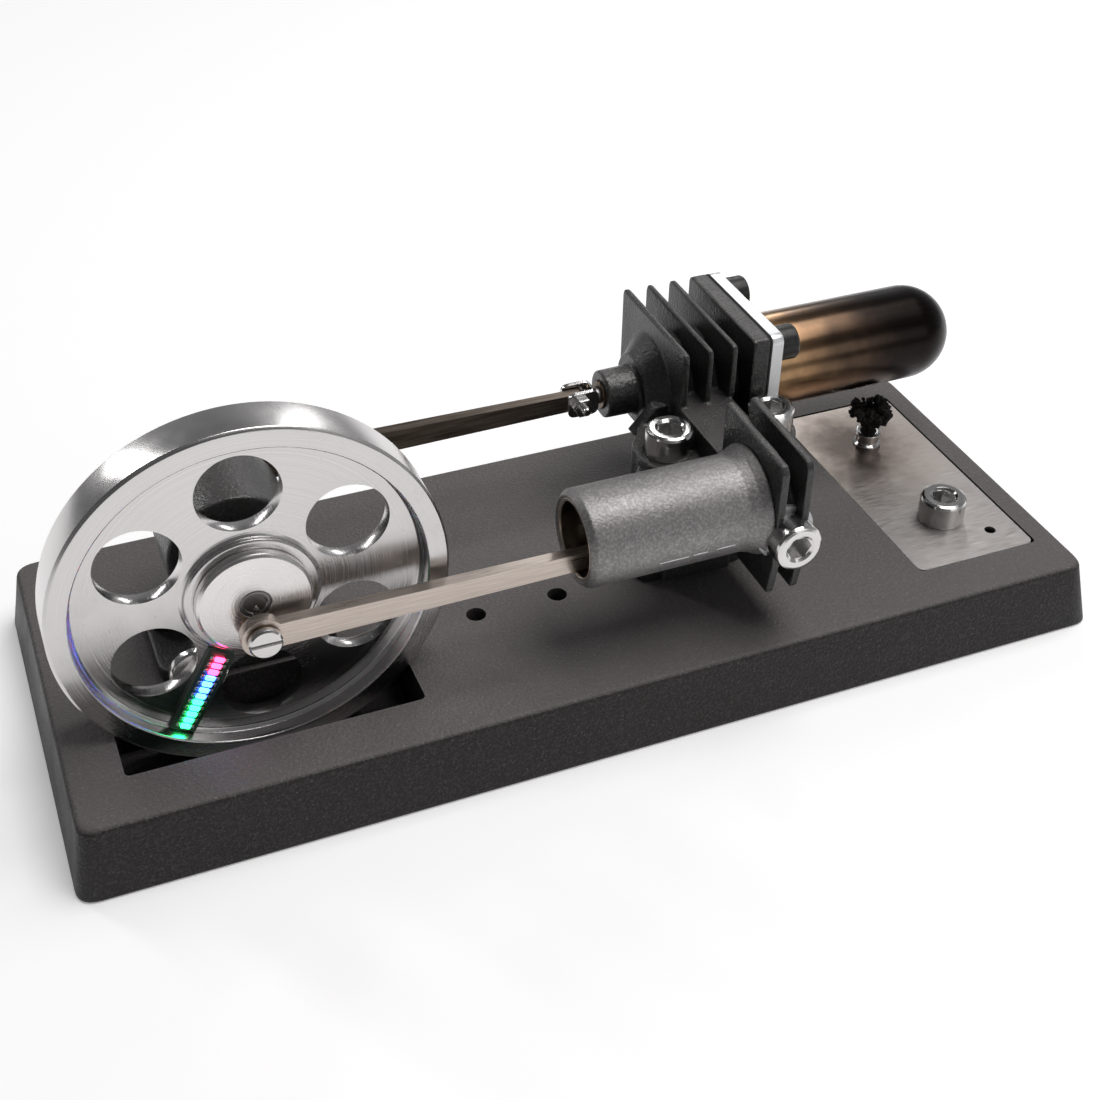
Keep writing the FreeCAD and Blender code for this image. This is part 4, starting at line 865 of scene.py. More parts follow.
BARREL_R, BARREL_FRONT, BARREL_END, BORE_R, BORE_END = 8.35, -5.0, 26.6, 6.25, 24.2
LINER_R, LINER_END = 6.95, 22.0
SIDE_FIN_X, SIDE_FIN_T = (26.8, 31.4), 1.5
SIDE_FIN_Y, SIDE_FIN_Z = (-29.7, -9.3), (19.7, 46.4)
PLUG_X, PLUG_Z, PLUG_SEAT = 30.0, 31.0, -26.6
GLAND_END, GLAND_R, GLAND_RING_X, GLAND_RING_R = 16.6, 4.4, 22.8, 6.8
COOLER_R, COOLER_BORE, COOLER_WALL = 9.3, 8.0, 28.5
FIN_X, FIN_T, FIN_HALF = (26.4, 31.15, 35.9), 1.3, 13.3
FLANGE = (40.2, 43.5)
FOOT_Y, FOOT_X, FOOT_TOP, FOOT_SHANK = 0.5, (21.8, 41.7), 31.5, 26.5
LUG_R = (5.6, 5.0)
BRIDGE_X, BRIDGE_Y, BRIDGE_Z = (26.4, 36.6), (-13.0, 12.0), (28.3, 36.0)
SADDLE, SADDLE_HEIGHT = (12.0, -11.0, 33.0, 9.0), 2.6       # x0, y0, x1, y1
SADDLE_WEB_X, SADDLE_WEB_TOP = (15.5, 28.5), 29.0
LUG_FRONT, LUG_REAR, LUG_RIGHT, LUG_LOW = 4.6, 12.4, 30.0, 19.5
NECK_HALF, NECK_DEPTH = 4.0, 8.0
FLANGE_WEB_Y = (2.5, 7.5)
SEAT_R, SEAT_HEIGHT = 4.6, 8
CLAMP_BOLT = 9.7
CAP_R, CAP_WALL = 9.0, 0.7


def tube_along_x(name, radius_a, radius_b, x0, x1, y, z):
    work = bmesh.new()
    ring = circle(1.0, 80)
    near = [work.verts.new((x0 * MM, (y + radius_a * u) * MM, (z + radius_a * v) * MM)) for u, v in ring]
    far = [work.verts.new((x1 * MM, (y + radius_b * u) * MM, (z + radius_b * v) * MM)) for u, v in ring]
    return close_plate(name, work, near, far)


def thin_out(piece, middle_x, y, z, start, reach, share):
    """Make a fin thinner with the distance from its cylinder's axis."""
    for vertex in piece.data.vertices:
        away = math.hypot(vertex.co.y / MM - y, vertex.co.z / MM - z)
        keep = 1 - (1 - share) * min(1.0, max(0.0, (away - start) / reach))
        vertex.co.x = (middle_x + (vertex.co.x / MM - middle_x) * keep) * MM
    return piece


def cooler_fins():
    y, z, half = DISP_Y, SZ, FIN_HALF
    shape = soften([(y - half, z + half), (y - half, z + 3), (y - 3, z - 9.0), (y + half - 3, z - 9.0),
                    (y + half, z - 6), (y + half, z + half)], 1.3)
    return [thin_out(plate_yz("fin", shape, x, x + FIN_T), x + FIN_T / 2, y, z, 9, 9, 0.85) for x in FIN_X]


def side_fins():
    (y0, y1), (z0, z1) = SIDE_FIN_Y, SIDE_FIN_Z
    made = []
    for x in SIDE_FIN_X:
        shape = soften([(y0 + 1.0, z0), (y1, z0), (y1, z1), (y0 + 1.0, z1 - 0.6), (y0, z1 - 1.8),
                        (y0, z0 + 6)], 0.5)
        made.append(thin_out(plate_yz("side_fin", shape, x, x + SIDE_FIN_T), x + SIDE_FIN_T / 2,
                             POWER_Y, SZ, 7, 8, 0.95))
    return made


def make_block(coat, alloy, ridge_highlight_paint, liner_paint, bush_paint):
    y, z, half = DISP_Y, SZ, FIN_HALF
    left, right = FOOT_X
    flange = plate_yz("flange", round_box(y - half, z - half, y + half, z + half, 1.2), *FLANGE)
    parts = cooler_fins() + side_fins() + [
        flange,
        tube_along_x("head", 7.6, 7.2, SIDE_FIN_X[0] - 0.6, SIDE_FIN_X[1] + SIDE_FIN_T, POWER_Y, z),
        tube_along_x("gland", GLAND_R, GLAND_R + 0.15, GLAND_END, GLAND_RING_X + 4, y, z),
        tube_along_x("gland_ring", GLAND_RING_R - 0.4, GLAND_RING_R, GLAND_RING_X, GLAND_RING_X + 0.8, y, z),
        tube_along_x("gland_flare", GLAND_RING_R, COOLER_R + 0.6, GLAND_RING_X + 0.8, FIN_X[0] + 0.2, y, z),
        tube_along_x("cooler", COOLER_R, COOLER_R, FIN_X[0], FLANGE[0] + 1, y, z),
        block("bridge", (BRIDGE_X[0], BRIDGE_Y[0], BRIDGE_Z[0]), (BRIDGE_X[1], BRIDGE_Y[1], BRIDGE_Z[1])),
        plate_xy("lug_body", soften([(left - LUG_R[0] + 0.3, FOOT_Y - LUG_FRONT),
                                     (left - LUG_R[0] + 0.2, LUG_FRONT), (left + 0.8, LUG_REAR),
                                     (LUG_RIGHT, LUG_REAR), (LUG_RIGHT, FOOT_Y - LUG_FRONT)], 3.0),
                 LUG_LOW, FOOT_TOP),
        plate_xy("saddle", round_box(*SADDLE, 2.8), BASE_TOP + 0.02, BASE_TOP + SADDLE_HEIGHT),
        block("saddle_web", (SADDLE_WEB_X[0], BRIDGE_Y[0], BASE_TOP + 1),
              (SADDLE_WEB_X[1], FOOT_Y, SADDLE_WEB_TOP)),
        block("neck", (BRIDGE_X[1] - 1, FOOT_Y - NECK_HALF, FOOT_TOP - NECK_DEPTH),
              (right, FOOT_Y + NECK_HALF, FOOT_TOP)),
        block("flange_web", (FLANGE[0], FLANGE_WEB_Y[0], z - half + 1),
              (FLANGE[1], FLANGE_WEB_Y[1], FOOT_TOP)),
        plate_xz("gusset", [(left - 2.8, 29.5), (left + 1.8, 34.6), (27.6, 34.6), (27.6, 28.0)], 9.6, 12.2),
        rod_shape("plug_boss", 5.3, PLUG_SEAT, -18.0, (PLUG_X, 0, PLUG_Z), "+Y"),
    ]
    parts += [rod_shape("lug", radius, BASE_TOP + 0.02, FOOT_TOP, (x, FOOT_Y, 0), "+Z")
              for x, radius in zip(FOOT_X, LUG_R)]
    block_piece = casting("engine_block_piece", parts, 0.3, 5, 0.45)
    cutters = [
        rod_shape("bore", BORE_R, BARREL_FRONT - 1, BORE_END, (0, POWER_Y, z), "+X", 96),
        rod_shape("gland_bore", 2.6, GLAND_END - 1, COOLER_WALL + 1, (0, y, z), "+X", 48),
        rod_shape("cooler_bore", COOLER_BORE, COOLER_WALL, FLANGE[1] + 1, (0, y, z), "+X", 96),
        rod_shape("plug_hole", BRIGHT_HOLE, PLUG_SEAT - 1, PLUG_SEAT + 6, (PLUG_X, 0, PLUG_Z), "+Y", 40)]
    for x in FOOT_X:
        cutters += [rod_shape("seat", SEAT_R, FOOT_TOP, FOOT_TOP + SEAT_HEIGHT, (x, FOOT_Y, 0), "+Z", 48),
                    rod_shape("screw_hole", BRIGHT_HOLE, BASE_TOP - 1, FOOT_TOP + 1, (x, FOOT_Y, 0), "+Z",
                              40)]
    subtract(block_piece, cutters)
    wear(block_piece, "engine_block", coat)

    barrel = lathe("barrel", [
        (LINER_R, BARREL_FRONT + 0.25), (LINER_R + 0.25, BARREL_FRONT), (BARREL_R - 0.9, BARREL_FRONT),
        (BARREL_R, BARREL_FRONT + 1.0), (BARREL_R, BARREL_END - 3.4), (BARREL_R + 0.5, BARREL_END - 1.6),
        (BARREL_R + 1.5, BARREL_END + 0.4), (LINER_R, BARREL_END + 0.4)],
        (0, POWER_Y, z), "+X", 128, 0.8)
    add_on(barrel, "engine_block", alloy)
    # Raised parting-line ridges along the barrel's side. The ridges are real, but their pale paint is a
    # painted highlight on the ridge.
    for x0, x1, turn in ((7.0, 12.2, -17.0), (13.0, 15.6, -16.6), (17.2, 20.6, -16.2)):
        angle = math.radians(turn)
        across, up = -(BARREL_R + 0.02) * math.cos(angle), (BARREL_R + 0.02) * math.sin(angle)
        ridge = block("parting_line", (x0, POWER_Y + across - 0.05, z + up - 0.09),
                      (x1, POWER_Y + across + 0.25, z + up + 0.09))
        bevel(ridge, 0.04, 1)
        add_on(ridge, "engine_block", ridge_highlight_paint)

    front = low("cylinder_liner").x
    liner = lathe("liner_piece", [
        (BORE_R, front + 0.3), (BORE_R + 0.2, front), (LINER_R, front), (LINER_R, LINER_END),
        (BORE_R, LINER_END)],
        (0, POWER_Y, z), "+X", 128, 0.12)
    wear(liner, "cylinder_liner", liner_paint)
    bush_x0, bush_x1 = low("gland_bush").x, high("gland_bush").x
    bush = lathe("gland_bush_piece", [
        (1.56, bush_x0 + 0.15), (1.7, bush_x0), (2.45, bush_x0), (2.6, bush_x0 + 0.15), (2.6, bush_x1),
        (1.56, bush_x1)], (0, y, z), "+X", 64, 0.05)
    wear(bush, "gland_bush", bush_paint)


def make_hot_end(tinted, pale, black, bright, washer_paint, gasket_paint):
    y, z, half = DISP_Y, SZ, FIN_HALF
    corners = [(y + side * CLAMP_BOLT, z + level * CLAMP_BOLT) for side in (1, -1) for level in (1, -1)]
    x0, x1 = low("cap_gasket").x, high("cap_gasket").x
    gasket = plate_yz("cap_gasket_piece", round_box(y - half, z - half, y + half, z + half, 1.4), x0, x1)
    subtract(gasket, [rod_shape("bore", COOLER_BORE, x0 - 1, x1 + 1, (0, y, z), "+X", 64)])
    wear(gasket, "cap_gasket", gasket_paint)

    x0, x1 = low("clamp_plate").x, high("clamp_plate").x
    cover = plate_yz("clamp_plate_piece", round_box(y - half, z - half, y + half, z + half, 1.6), x0, x1)
    subtract(cover, [rod_shape("bore", 9.1, x0 - 1, x1 + 1, (0, y, z), "+X", 96)]
             + [rod_shape("hole", BLACK_HOLE, x0 - 1, x1 + 1, (0, a, b), "+X", 32) for a, b in corners])
    bevel(cover, 0.22, 2)
    wear(cover, "clamp_plate", pale)

    clamp_x, tip = low("hot_cap").x, high("hot_cap").x
    middle, inner = tip - clamp_x - CAP_R, CAP_R - CAP_WALL

    def arc(radius, angles):
        return [(radius * math.sin(math.radians(a)), middle + radius * math.cos(math.radians(a)))
                for a in angles]

    profile = arc(CAP_R, range(0, 91, 6)) + [(CAP_R, 0.6), (CAP_R, 0.0), (inner, 0.0)]
    profile += arc(inner, range(90, -1, -10))
    cap = lathe("hot_cap_piece", profile, (clamp_x, y, z), "+X", 128, 0.05, False)
    wear(cap, "hot_cap", tinted)

    screw_set("clamp_screws", black, [(x1, a, b) for a, b in corners], "+X", BLACK_SCREW, 5.5)
    seats = [(x, FOOT_Y, FOOT_TOP) for x in FOOT_X]
    screw_set("foot_screws", bright, seats, "+Z", BRIGHT_SCREW, FOOT_SHANK)
    seat = low("plug_washer").y
    washer = lathe("plug_washer_piece", [
        (BRIGHT_HOLE, 0), (5.0, 0), (5.2, 0.2), (5.2, 0.8), (5.0, 1.0), (BRIGHT_HOLE, 1.0)],
        (PLUG_X, PLUG_SEAT, PLUG_Z), "-Y", 72, 0.1)
    wear(washer, "plug_washer", washer_paint)
    plug = socket_screw("passage_plug_piece", (PLUG_X, seat, PLUG_Z), "-Y", BRIGHT_SCREW, 5.0)
    wear(plug, "passage_plug", bright)


# ---- pedestal, shaft and flywheel ------------------------------------------------------------

PEDESTAL_Y, PEDESTAL_R, SEAT_DEPTH = (-4.0, 11.0), 11.0, 4.0
PEDESTAL_BOLT, PEDESTAL_BOLT_Y = 11.2, 6.0
HUB_FRONT, BOSS_FRONT, HUB_REAR = -17.2, -15.3, -8.2
HUB_R, BOSS_R, SPIGOT_R = 9.2, 10.7, 6.0
WEB = (-14.0, -11.5)
RIM_INNER, HOLE_RING, HOLE_R = 27.9, 18.7, 6.7
DISC_R, DISC_Y = 9.0, (12.2, 16.6)
KEY_R, KEY_DEPTH, PIN_HOLE_R, SET_HOLE_R = 0.66, 5.2, 1.2, 1.25
BEARING_R, HOUSING_BORE_R = 6.5, 4.6


def make_pedestal(coat, black):
    front, rear = PEDESTAL_Y
    parts = [
        rod_shape("housing", PEDESTAL_R, front, rear, (SX, 0, SZ), "+Y", 96),
        loft("column", [(round_box(SX - 8.4, front + 1.0, SX + 8.4, rear - 1.0, 1.5), BASE_TOP + 0.02),
                        (round_box(SX - 7.2, front + 1.5, SX + 7.2, rear - 1.5, 1.5), SZ - 6)]),
        plate_xy("foot", round_box(SX - 15, -7.0, SX + 15, 12.0, 3.0), BASE_TOP + 0.02, BASE_TOP + 3.0)]
    piece = casting("pedestal_piece", parts, 0.32, 5, 0.5)
    bolts = [(SX + side * PEDESTAL_BOLT, PEDESTAL_BOLT_Y) for side in (-1, 1)]
    cutters = [rod_shape("front_seat", BEARING_R, front - 1, front + SEAT_DEPTH, (SX, 0, SZ), "+Y", 96),
               rod_shape("rear_seat", BEARING_R, rear - SEAT_DEPTH, rear + 1, (SX, 0, SZ), "+Y", 96),
               rod_shape("bore", HOUSING_BORE_R, front - 2, rear + 2, (SX, 0, SZ), "+Y", 64)]
    cutters += [rod_shape("screw_hole", BLACK_HOLE, BASE_TOP - 1, BASE_TOP + 5, (x, y, 0), "+Z", 32)
                for x, y in bolts]
    subtract(piece, cutters)
    wear(piece, "bearing_pedestal", coat)
    seats = [(x, y, BASE_TOP + 3.0) for x, y in bolts]
    screw_set("pedestal_screws", black, seats, "+Z", BLACK_SCREW, 8.0)


def shaft_cut(radius, y0, y1, out_x, out_z, segments):
    """Cutter parallel to the shaft, out from its axis."""
    return rod_shape("cut", radius, y0, y1, (SX + out_x, 0, SZ + out_z), "+Y", segments)


def make_wheel(wheel_paint, hub_paint, shaft_paint, disc_paint):
    edge = 0.45
    length = WHEEL_REAR - WHEEL_FRONT
    web_front, web_rear = WEB[0] - WHEEL_FRONT, WEB[1] - WHEEL_FRONT
    boss = BOSS_FRONT - WHEEL_FRONT
    wheel = lathe("wheel", [
        (SPIGOT_R, boss), (BOSS_R - 0.3, boss), (BOSS_R, boss + 0.3), (BOSS_R, web_front - 0.4),
        (BOSS_R + 0.5, web_front), (RIM_INNER - 0.6, web_front), (RIM_INNER, web_front - 0.6),
        (RIM_INNER, 0.25), (RIM_INNER + 0.25, 0), (WHEEL_R - edge, 0), (WHEEL_R, edge),
        (WHEEL_R, length - edge), (WHEEL_R - edge, length), (RIM_INNER + 0.25, length),
        (RIM_INNER, length - 0.25),
        (RIM_INNER, web_rear + 0.6), (RIM_INNER - 0.6, web_rear), (SPIGOT_R, web_rear)],
        (SX, WHEEL_FRONT, SZ), "+Y", 256, 0.25)
    turns = [math.radians(90 + 60 * index) for index in range(6)]
    subtract(wheel, [shaft_cut(HOLE_R, WEB[0] - 2, WEB[1] + 2, HOLE_RING * math.cos(turn),
                               HOLE_RING * math.sin(turn), 72) for turn in turns])
    bevel(wheel, 0.22, 2, 50, "Z")
    wear(wheel, "flywheel", wheel_paint)

    hub_length, step = HUB_REAR - HUB_FRONT, BOSS_FRONT - HUB_FRONT
    hub = lathe("hub", [
        (2.5, 0.12), (2.62, 0), (HUB_R - 0.5, 0), (HUB_R, 0.5), (HUB_R, step - 0.25), (HUB_R - 0.25, step),
        (SPIGOT_R, step), (SPIGOT_R, hub_length), (2.5, hub_length)], (SX, HUB_FRONT, SZ), "+Y", 160, 0.15)
    subtract(hub, [shaft_cut(KEY_R, HUB_FRONT - 1, HUB_FRONT + KEY_DEPTH, 0, -THROW / 2, 24),
                   shaft_cut(PIN_HOLE_R, HUB_FRONT - 1, HUB_FRONT + 5, 0, -THROW, 32),
                   rod_shape("set_hole", SET_HOLE_R, 0, 8, (SX, HUB_REAR - 1.7, SZ), "+Z", 24)])
    wear(hub, "flywheel_hub", hub_paint)

    shaft_length = DISC_Y[1] - HUB_FRONT
    shaft = lathe("shaft", [
        (0, 0.25), (1.7, 0.25), (1.85, 0.05), (2.3, 0.05), (2.5, 0.25), (2.5, shaft_length - 0.3),
        (2.2, shaft_length), (0, shaft_length)], (SX, HUB_FRONT, SZ), "+Y", 72, 0.05, False)
    subtract(shaft, [shaft_cut(KEY_R, HUB_FRONT - 1, HUB_FRONT + KEY_DEPTH, 0, -THROW / 2, 24),
                     shaft_cut(KEY_R, DISC_Y[0] + 0.2, DISC_Y[1] + 1, THROW / 2, 0, 24)])
    wear(shaft, "crankshaft", shaft_paint)

    depth = DISC_Y[1] - DISC_Y[0]
    disc = lathe("disc", [
        (2.5, 0), (DISC_R - 0.3, 0), (DISC_R, 0.3), (DISC_R, depth - 0.5), (DISC_R - 0.5, depth),
        (2.5, depth)],
        (SX, DISC_Y[0], SZ), "+Y", 128, 0.1)
    subtract(disc, [shaft_cut(KEY_R, DISC_Y[0] - 1, DISC_Y[1] + 1, THROW / 2, 0, 24),
                    shaft_cut(PIN_HOLE_R, DISC_Y[1] - 4, DISC_Y[1] + 1, THROW, 0, 32),
                    rod_shape("set_hole", SET_HOLE_R, 0, 10, (SX, DISC_Y[0] + 2.2, SZ), "+Z", 24)])
    wear(disc, "crank_disc", disc_paint)


# ---- rods, pins, pistons ---------------------------------------------------------------------

def crank_pin(node, face_y, outward, paint):
    """Shoulder pin with a slotted head; its thread is in the disc behind the face."""
    spot = centre(node)
    axis = "+Y" if outward > 0 else "-Y"
    end = high(node).y if outward > 0 else low(node).y
    reach = abs(end - face_y)
    neck = reach - 1.3
    pin = lathe(node + "_piece", [
        (0, -3.6), (1.0, -3.6), (1.18, -3.4), (1.18, 0), (1.5, 0), (1.5, neck), (2.55, neck),
        (2.7, neck + 0.15),
        (2.7, reach - 0.3), (2.4, reach), (0, reach)],
        (spot.x, face_y, spot.z), axis, 64, 0.06, False)
    slot_low, slot_high = sorted((end - outward * 0.6, end + outward))
    subtract(pin, [block("slot", (spot.x - 4, slot_low, spot.z - 0.35),
                         (spot.x + 4, slot_high, spot.z + 0.35))])
    wear(crisp(pin), node, paint)


def rod(node, big_half, tip_half, eye_r, bush_r, hole_r, paint):
    """Flat rod with a round big end round its bush and a small eye at the tip."""
    near, far = low(node), high(node)
    big_x, small_x, level = near.x + eye_r, far.x - tip_half, centre(node).z
    start = math.asin(big_half / eye_r)
    outline = []
    for step in range(41):
        turn = start + (2 * math.pi - 2 * start) * step / 40
        outline.append((big_x + eye_r * math.cos(turn), level + eye_r * math.sin(turn)))
    for step in range(17):
        turn = -math.pi / 2 + math.pi * step / 16
        outline.append((small_x + tip_half * math.cos(turn), level + tip_half * math.sin(turn)))
    piece = plate_xz(node + "_piece", outline, near.y, far.y)
    subtract(piece, [rod_shape("bush_seat", bush_r, near.y - 1, far.y + 1, (big_x, 0, level), "+Y", 48),
                     rod_shape("eye", hole_r, near.y - 1, far.y + 1, (small_x, 0, level), "+Y", 32)])
    bevel(piece, 0.22, 3, 40)
    wear(piece, node, paint)


def rod_bush(node, paint):
    near, far, spot = low(node), high(node), centre(node)
    length = far.y - near.y
    piece = lathe(node + "_piece", [(1.54, 0.1), (1.65, 0), (2.15, 0), (2.3, 0.15), (2.3, length - 0.15),
                                    (2.15, length), (1.65, length), (1.54, length - 0.1)],
                  (spot.x, near.y, spot.z), "+Y", 56, 0.05)
    wear(piece, node, paint)


def make_piston(paint, pin_paint):
    spot = centre("wrist_pin")
    far = high("power_piston").x
    crown, radius = spot.x + 5.0, 6.21
    length = far - crown
    piston = lathe("piston_crown", [
        (0, 0), (radius - 0.4, 0), (radius, 0.4), (radius, 6.95), (radius - 0.35, 7.05),
        (radius - 0.35, 7.45), (radius, 7.55), (radius, length - 0.3), (radius - 0.3, length), (0, length)],
        (crown, spot.y, SZ), "+X", 112, 0.08, False)
    wear(piston, "power_piston", paint)
    for side in (-1, 1):
        y0, y1 = sorted((spot.y + side * 1.3, spot.y + side * 2.5))
        outline = round_box(spot.x - 2.5, SZ - 2.6, spot.x + 5.8, SZ + 2.6, 1.8, 6)
        cheek = plate_xz("piston_cheek", outline, y0, y1)
        subtract(cheek, [rod_shape("hole", 0.8, y0 - 1, y1 + 1, (spot.x, 0, SZ), "+Y", 24)])
        bevel(cheek, 0.15, 2, 40)
        add_on(cheek, "power_piston", paint)
    pins = []
    for side in (-1, 1):
        y0, y1 = sorted((spot.y + side * 1.3, spot.y + side * 3.3))
        pins.append(rod_shape("wrist", 0.8, y0, y1, (spot.x, 0, SZ), "+Y", 32))
    pins = join("wrist_pin_piece", pins)
    bevel(pins, 0.12, 2, 40)
    wear(pins, "wrist_pin", pin_paint)


def make_clevis(bright, shaft_paint):
    spot = centre("clevis_nut")
    near, far = low("clevis"), high("clevis")
    y, half, cheek = DISP_Y, (far.z - near.z) / 2, 0.8
    inner = (far.y - near.y) / 2 - cheek
    fork = plate_xz("clevis_piece", round_box(near.x, SZ - half, far.x, SZ + half, 1.5, 6), near.y, far.y)
    opening = round_box(near.x - 3, y - inner, far.x - cheek, y + inner, 0.9)
    gap = plate_xy("gap", opening, SZ - half - 1, SZ + half + 1)
    subtract(fork, [gap, rod_shape("hole", 0.82, near.y - 1, far.y + 1, (spot.x, 0, SZ), "+Y", 24)])
    bevel(fork, 0.24, 3, 40)
    wear(fork, "clevis", bright)

    rear, front = high("clevis_screw").y, low("clevis_screw").y
    head = lathe("clevis_head", [
        (0, 0), (0.8, 0), (0.8, 0.8), (1.55, 0.8), (1.7, 0.95), (1.7, rear - y - inner - 0.5),
        (1.35, rear - y - inner), (0, rear - y - inner)],
        (spot.x, y + inner, SZ), "+Y", 48, 0.08, False)
    subtract(head, [block("slot", (spot.x - 3, rear - 0.6, SZ - 0.25), (spot.x + 3, rear + 1, SZ + 0.25))])
    wear(head, "clevis_screw", bright)
    length = y - inner - front
    stub = lathe("clevis_stub", [(0, 0), (0.8, 0), (0.8, length - 0.25), (0.6, length), (0, length)],
                 (spot.x, y - inner, SZ), "-Y", 40, 0.05, False)
    add_on(stub, "clevis_screw", bright)

    nut_front, nut_back = low("clevis_nut").y, high("clevis_nut").y
    nut = prism("clevis_nut_piece", circle(1.9, 6), nut_front, nut_back, "+Y", (spot.x, 0, SZ))
    subtract(nut, [rod_shape("hole", 0.84, nut_front - 1, nut_back + 1, (spot.x, 0, SZ), "+Y", 24)])
    bevel(nut, 0.14, 2, 40)
    wear(nut, "clevis_nut", bright)

    x0, x1 = low("displacer_shaft").x, high("displacer_shaft").x
    shaft = lathe("displacer_shaft_piece", [(0, 0), (1.35, 0), (1.5, 0.15), (1.5, x1 - x0), (0, x1 - x0)],
                  (x0, y, SZ), "+X", 56, 0.03, False)
    wear(shaft, "displacer_shaft", shaft_paint)


# ---- light strip -----------------------------------------------------------------------------

LIGHT_TURN = math.radians(30)
LIGHT_START, LIGHT_STEP = 12.8, 1.25
LIGHT_GROUPS = (("red_lights", 0, 3), ("blue_lights", 3, 4), ("green_lights", 7, 5))


def spoke_frame(depth):
    """Local frame on the strip's spoke: X runs outwards, Y is row Y, Z lies across the spoke."""
    turn = Matrix.Rotation(math.pi / 2 + LIGHT_TURN, 4, "Y")
    return Matrix.Translation(Vector((SX, depth, SZ)) * MM) @ turn


def make_lights(board_paint, glows, cell_paint, solder):
    board = block("light_board_piece", (11.4, -0.8, -2.2), (27.6, 0, 2.2))
    bevel(board, 0.12, 2)
    board.matrix_world = spoke_frame(WEB[0])
    wear(board, "light_board", board_paint)
    for label, first, count in LIGHT_GROUPS:
        lamps = []
        for index in range(first, first + count):
            spot = LIGHT_START + index * LIGHT_STEP
            lamp = block("lamp", (spot - 0.4, -1.3, -0.8), (spot + 0.4, -0.78, 0.8))
            bevel(lamp, 0.16, 3)
            lamp.matrix_world = spoke_frame(WEB[0])
            lamps.append(lamp)
            for side in (-1, 1):
                pad = block("solder", (spot - 0.3, -0.98, side * 1.25 - 0.3),
                            (spot + 0.3, -0.76, side * 1.25 + 0.3))
                bevel(pad, 0.08, 2)
                pad.matrix_world = spoke_frame(WEB[0])
                add_on(pad, "light_board", solder)
        wear(join(label + "_piece", lamps), label, glows[label])
    spot = centre("button_cell")
    y0, y1 = low("button_cell").y, high("button_cell").y
    thick = y1 - y0
    cell = lathe("button_cell_piece", [(0, 0), (4.4, 0), (4.75, 0.35), (4.75, thick - 0.3), (4.5, thick),
                                       (3.9, thick), (3.7, thick - 0.15), (0, thick - 0.15)],
                 (spot.x, y0, spot.z), "+Y", 96, 0.1, False)
    wear(cell, "button_cell", cell_paint)


# ---- build -----------------------------------------------------------------------------------

make_camera()
make_world()
make_stage()

# The fourth argument sets how much lighter upward faces are painted: dust with painted top light.
base_coat = powder_coat("base_coat", (0.014, 0.0125, 0.0125), (0.030, 0.027, 0.0265), dust_and_top_light=0.8,
                        grain_mm=0.55, relief=0.22, gloss=0.0, metallic=0.0, sheen=0.2)
block_coat = powder_coat("block_coat", (0.012, 0.013, 0.0125), (0.027, 0.0285, 0.0275), dust_and_top_light=0.35,
                         grain_mm=0.5, relief=0.16, gloss=0.13, metallic=0.15, sheen=0.5)
bright_plate = plated("bright_plate")
black_steel = black_oxide()
pale_alloy = plain_rough("pale_alloy", (0.62, 0.63, 0.64), (0.78, 0.79, 0.8), 0.38, 0.5, 0.01, 0.9)
washer_alloy = plain_rough("washer_alloy", (0.42, 0.43, 0.44), (0.6, 0.61, 0.62), 0.45, 0.5, 0.02, 0.6)
wheel_steel = turned_steel("wheel_steel", (0.66, 0.645, 0.64), 0.2)
hub_steel = turned_steel("hub_steel", (0.80, 0.775, 0.765), 0.24, 0.25)
shaft_steel = turned_steel("shaft_steel", (0.24, 0.235, 0.23), 0.32, 0.3)
disc_steel = turned_steel("disc_steel", (0.6, 0.59, 0.58), 0.24, 0.3)
piston_steel = turned_steel("piston_steel", (0.55, 0.54, 0.52), 0.22, 0.4)
liner_steel = turned_steel("liner_steel", (0.5, 0.44, 0.38), 0.2, 0.2)
bronze = plain_rough("bronze", (0.42, 0.30, 0.17), (0.62, 0.46, 0.27), 0.32, 0.4, 0.008, 1.0)
oiled_bronze = plain_rough("oiled_bronze", (0.07, 0.05, 0.032), (0.15, 0.11, 0.07), 0.36, 0.4, 0.008, 1.0)
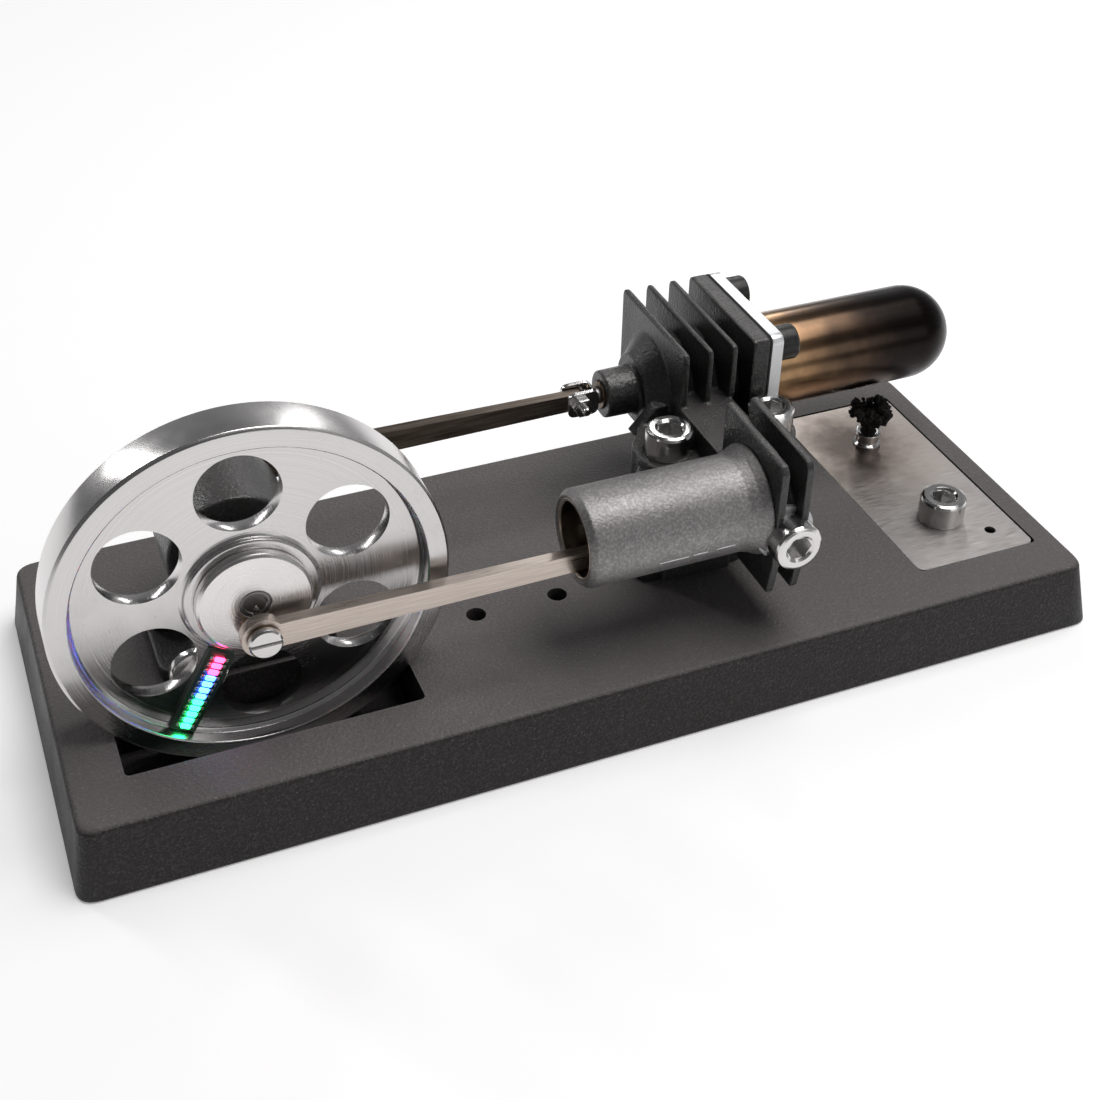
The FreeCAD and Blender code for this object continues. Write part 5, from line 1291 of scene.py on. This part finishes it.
gasket_black = plain_rough("gasket_black", (0.015, 0.015, 0.015), (0.04, 0.04, 0.04), 0.8, 0.5, 0.02)
power_rod_metal = brushed("power_rod_metal", (0.50, 0.43, 0.38), (0.72, 0.64, 0.58), roughness=0.32).material
link_metal = brushed("link_metal", (0.09, 0.07, 0.055), (0.24, 0.20, 0.165), roughness=0.34).material
board_green = plain_rough("board_green", (0.012, 0.03, 0.02), (0.02, 0.05, 0.035), 0.4, 0.5, 0.01)
solder = plain_rough("solder", (0.5, 0.5, 0.5), (0.75, 0.75, 0.75), 0.3, 0.3, 0.01, 1.0)
glows = {"red_lights": glowing("red_glow", (1.0, 0.03, 0.12), 14.0),
         "blue_lights": glowing("blue_glow", (0.03, 0.12, 1.0), 16.0),
         "green_lights": glowing("green_glow", (0.02, 1.0, 0.22), 12.0)}

make_base(base_coat)
make_tank(lid_steel(), bright_plate, burnt_cotton())
make_block(block_coat, blasted_alloy(), pale_alloy, liner_steel, oiled_bronze)
make_hot_end(heat_tint(), pale_alloy, black_steel, bright_plate, washer_alloy, gasket_black)
make_pedestal(block_coat, black_steel)
make_wheel(wheel_steel, hub_steel, shaft_steel, disc_steel)
crank_pin("power_crank_pin", HUB_FRONT, -1, bright_plate)
crank_pin("displacer_crank_pin", DISC_Y[1], 1, bright_plate)
rod("power_rod", 2.2, 1.65, 3.5, 2.3, 0.8, power_rod_metal)
rod("displacer_link", 2.4, 1.65, 3.5, 2.3, 0.8, link_metal)
rod_bush("power_rod_bush", bronze)
rod_bush("displacer_link_bush", bronze)
make_piston(piston_steel, bright_plate)
make_clevis(bright_plate, shaft_steel)
make_lights(board_green, glows, bright_plate, solder)

dress("tank_gasket", gasket_black)
dress("displacer", piston_steel)
for node, paint in (("hub_key", shaft_steel), ("disc_key", shaft_steel),
                    ("hub_set_screw", black_steel), ("disc_set_screw", black_steel)):
    dress(node, paint)
for place in ("front", "rear"):
    for part in ("outer_ring", "inner_ring", "balls"):
        dress("%s_bearing_%s" % (place, part), bright_plate)
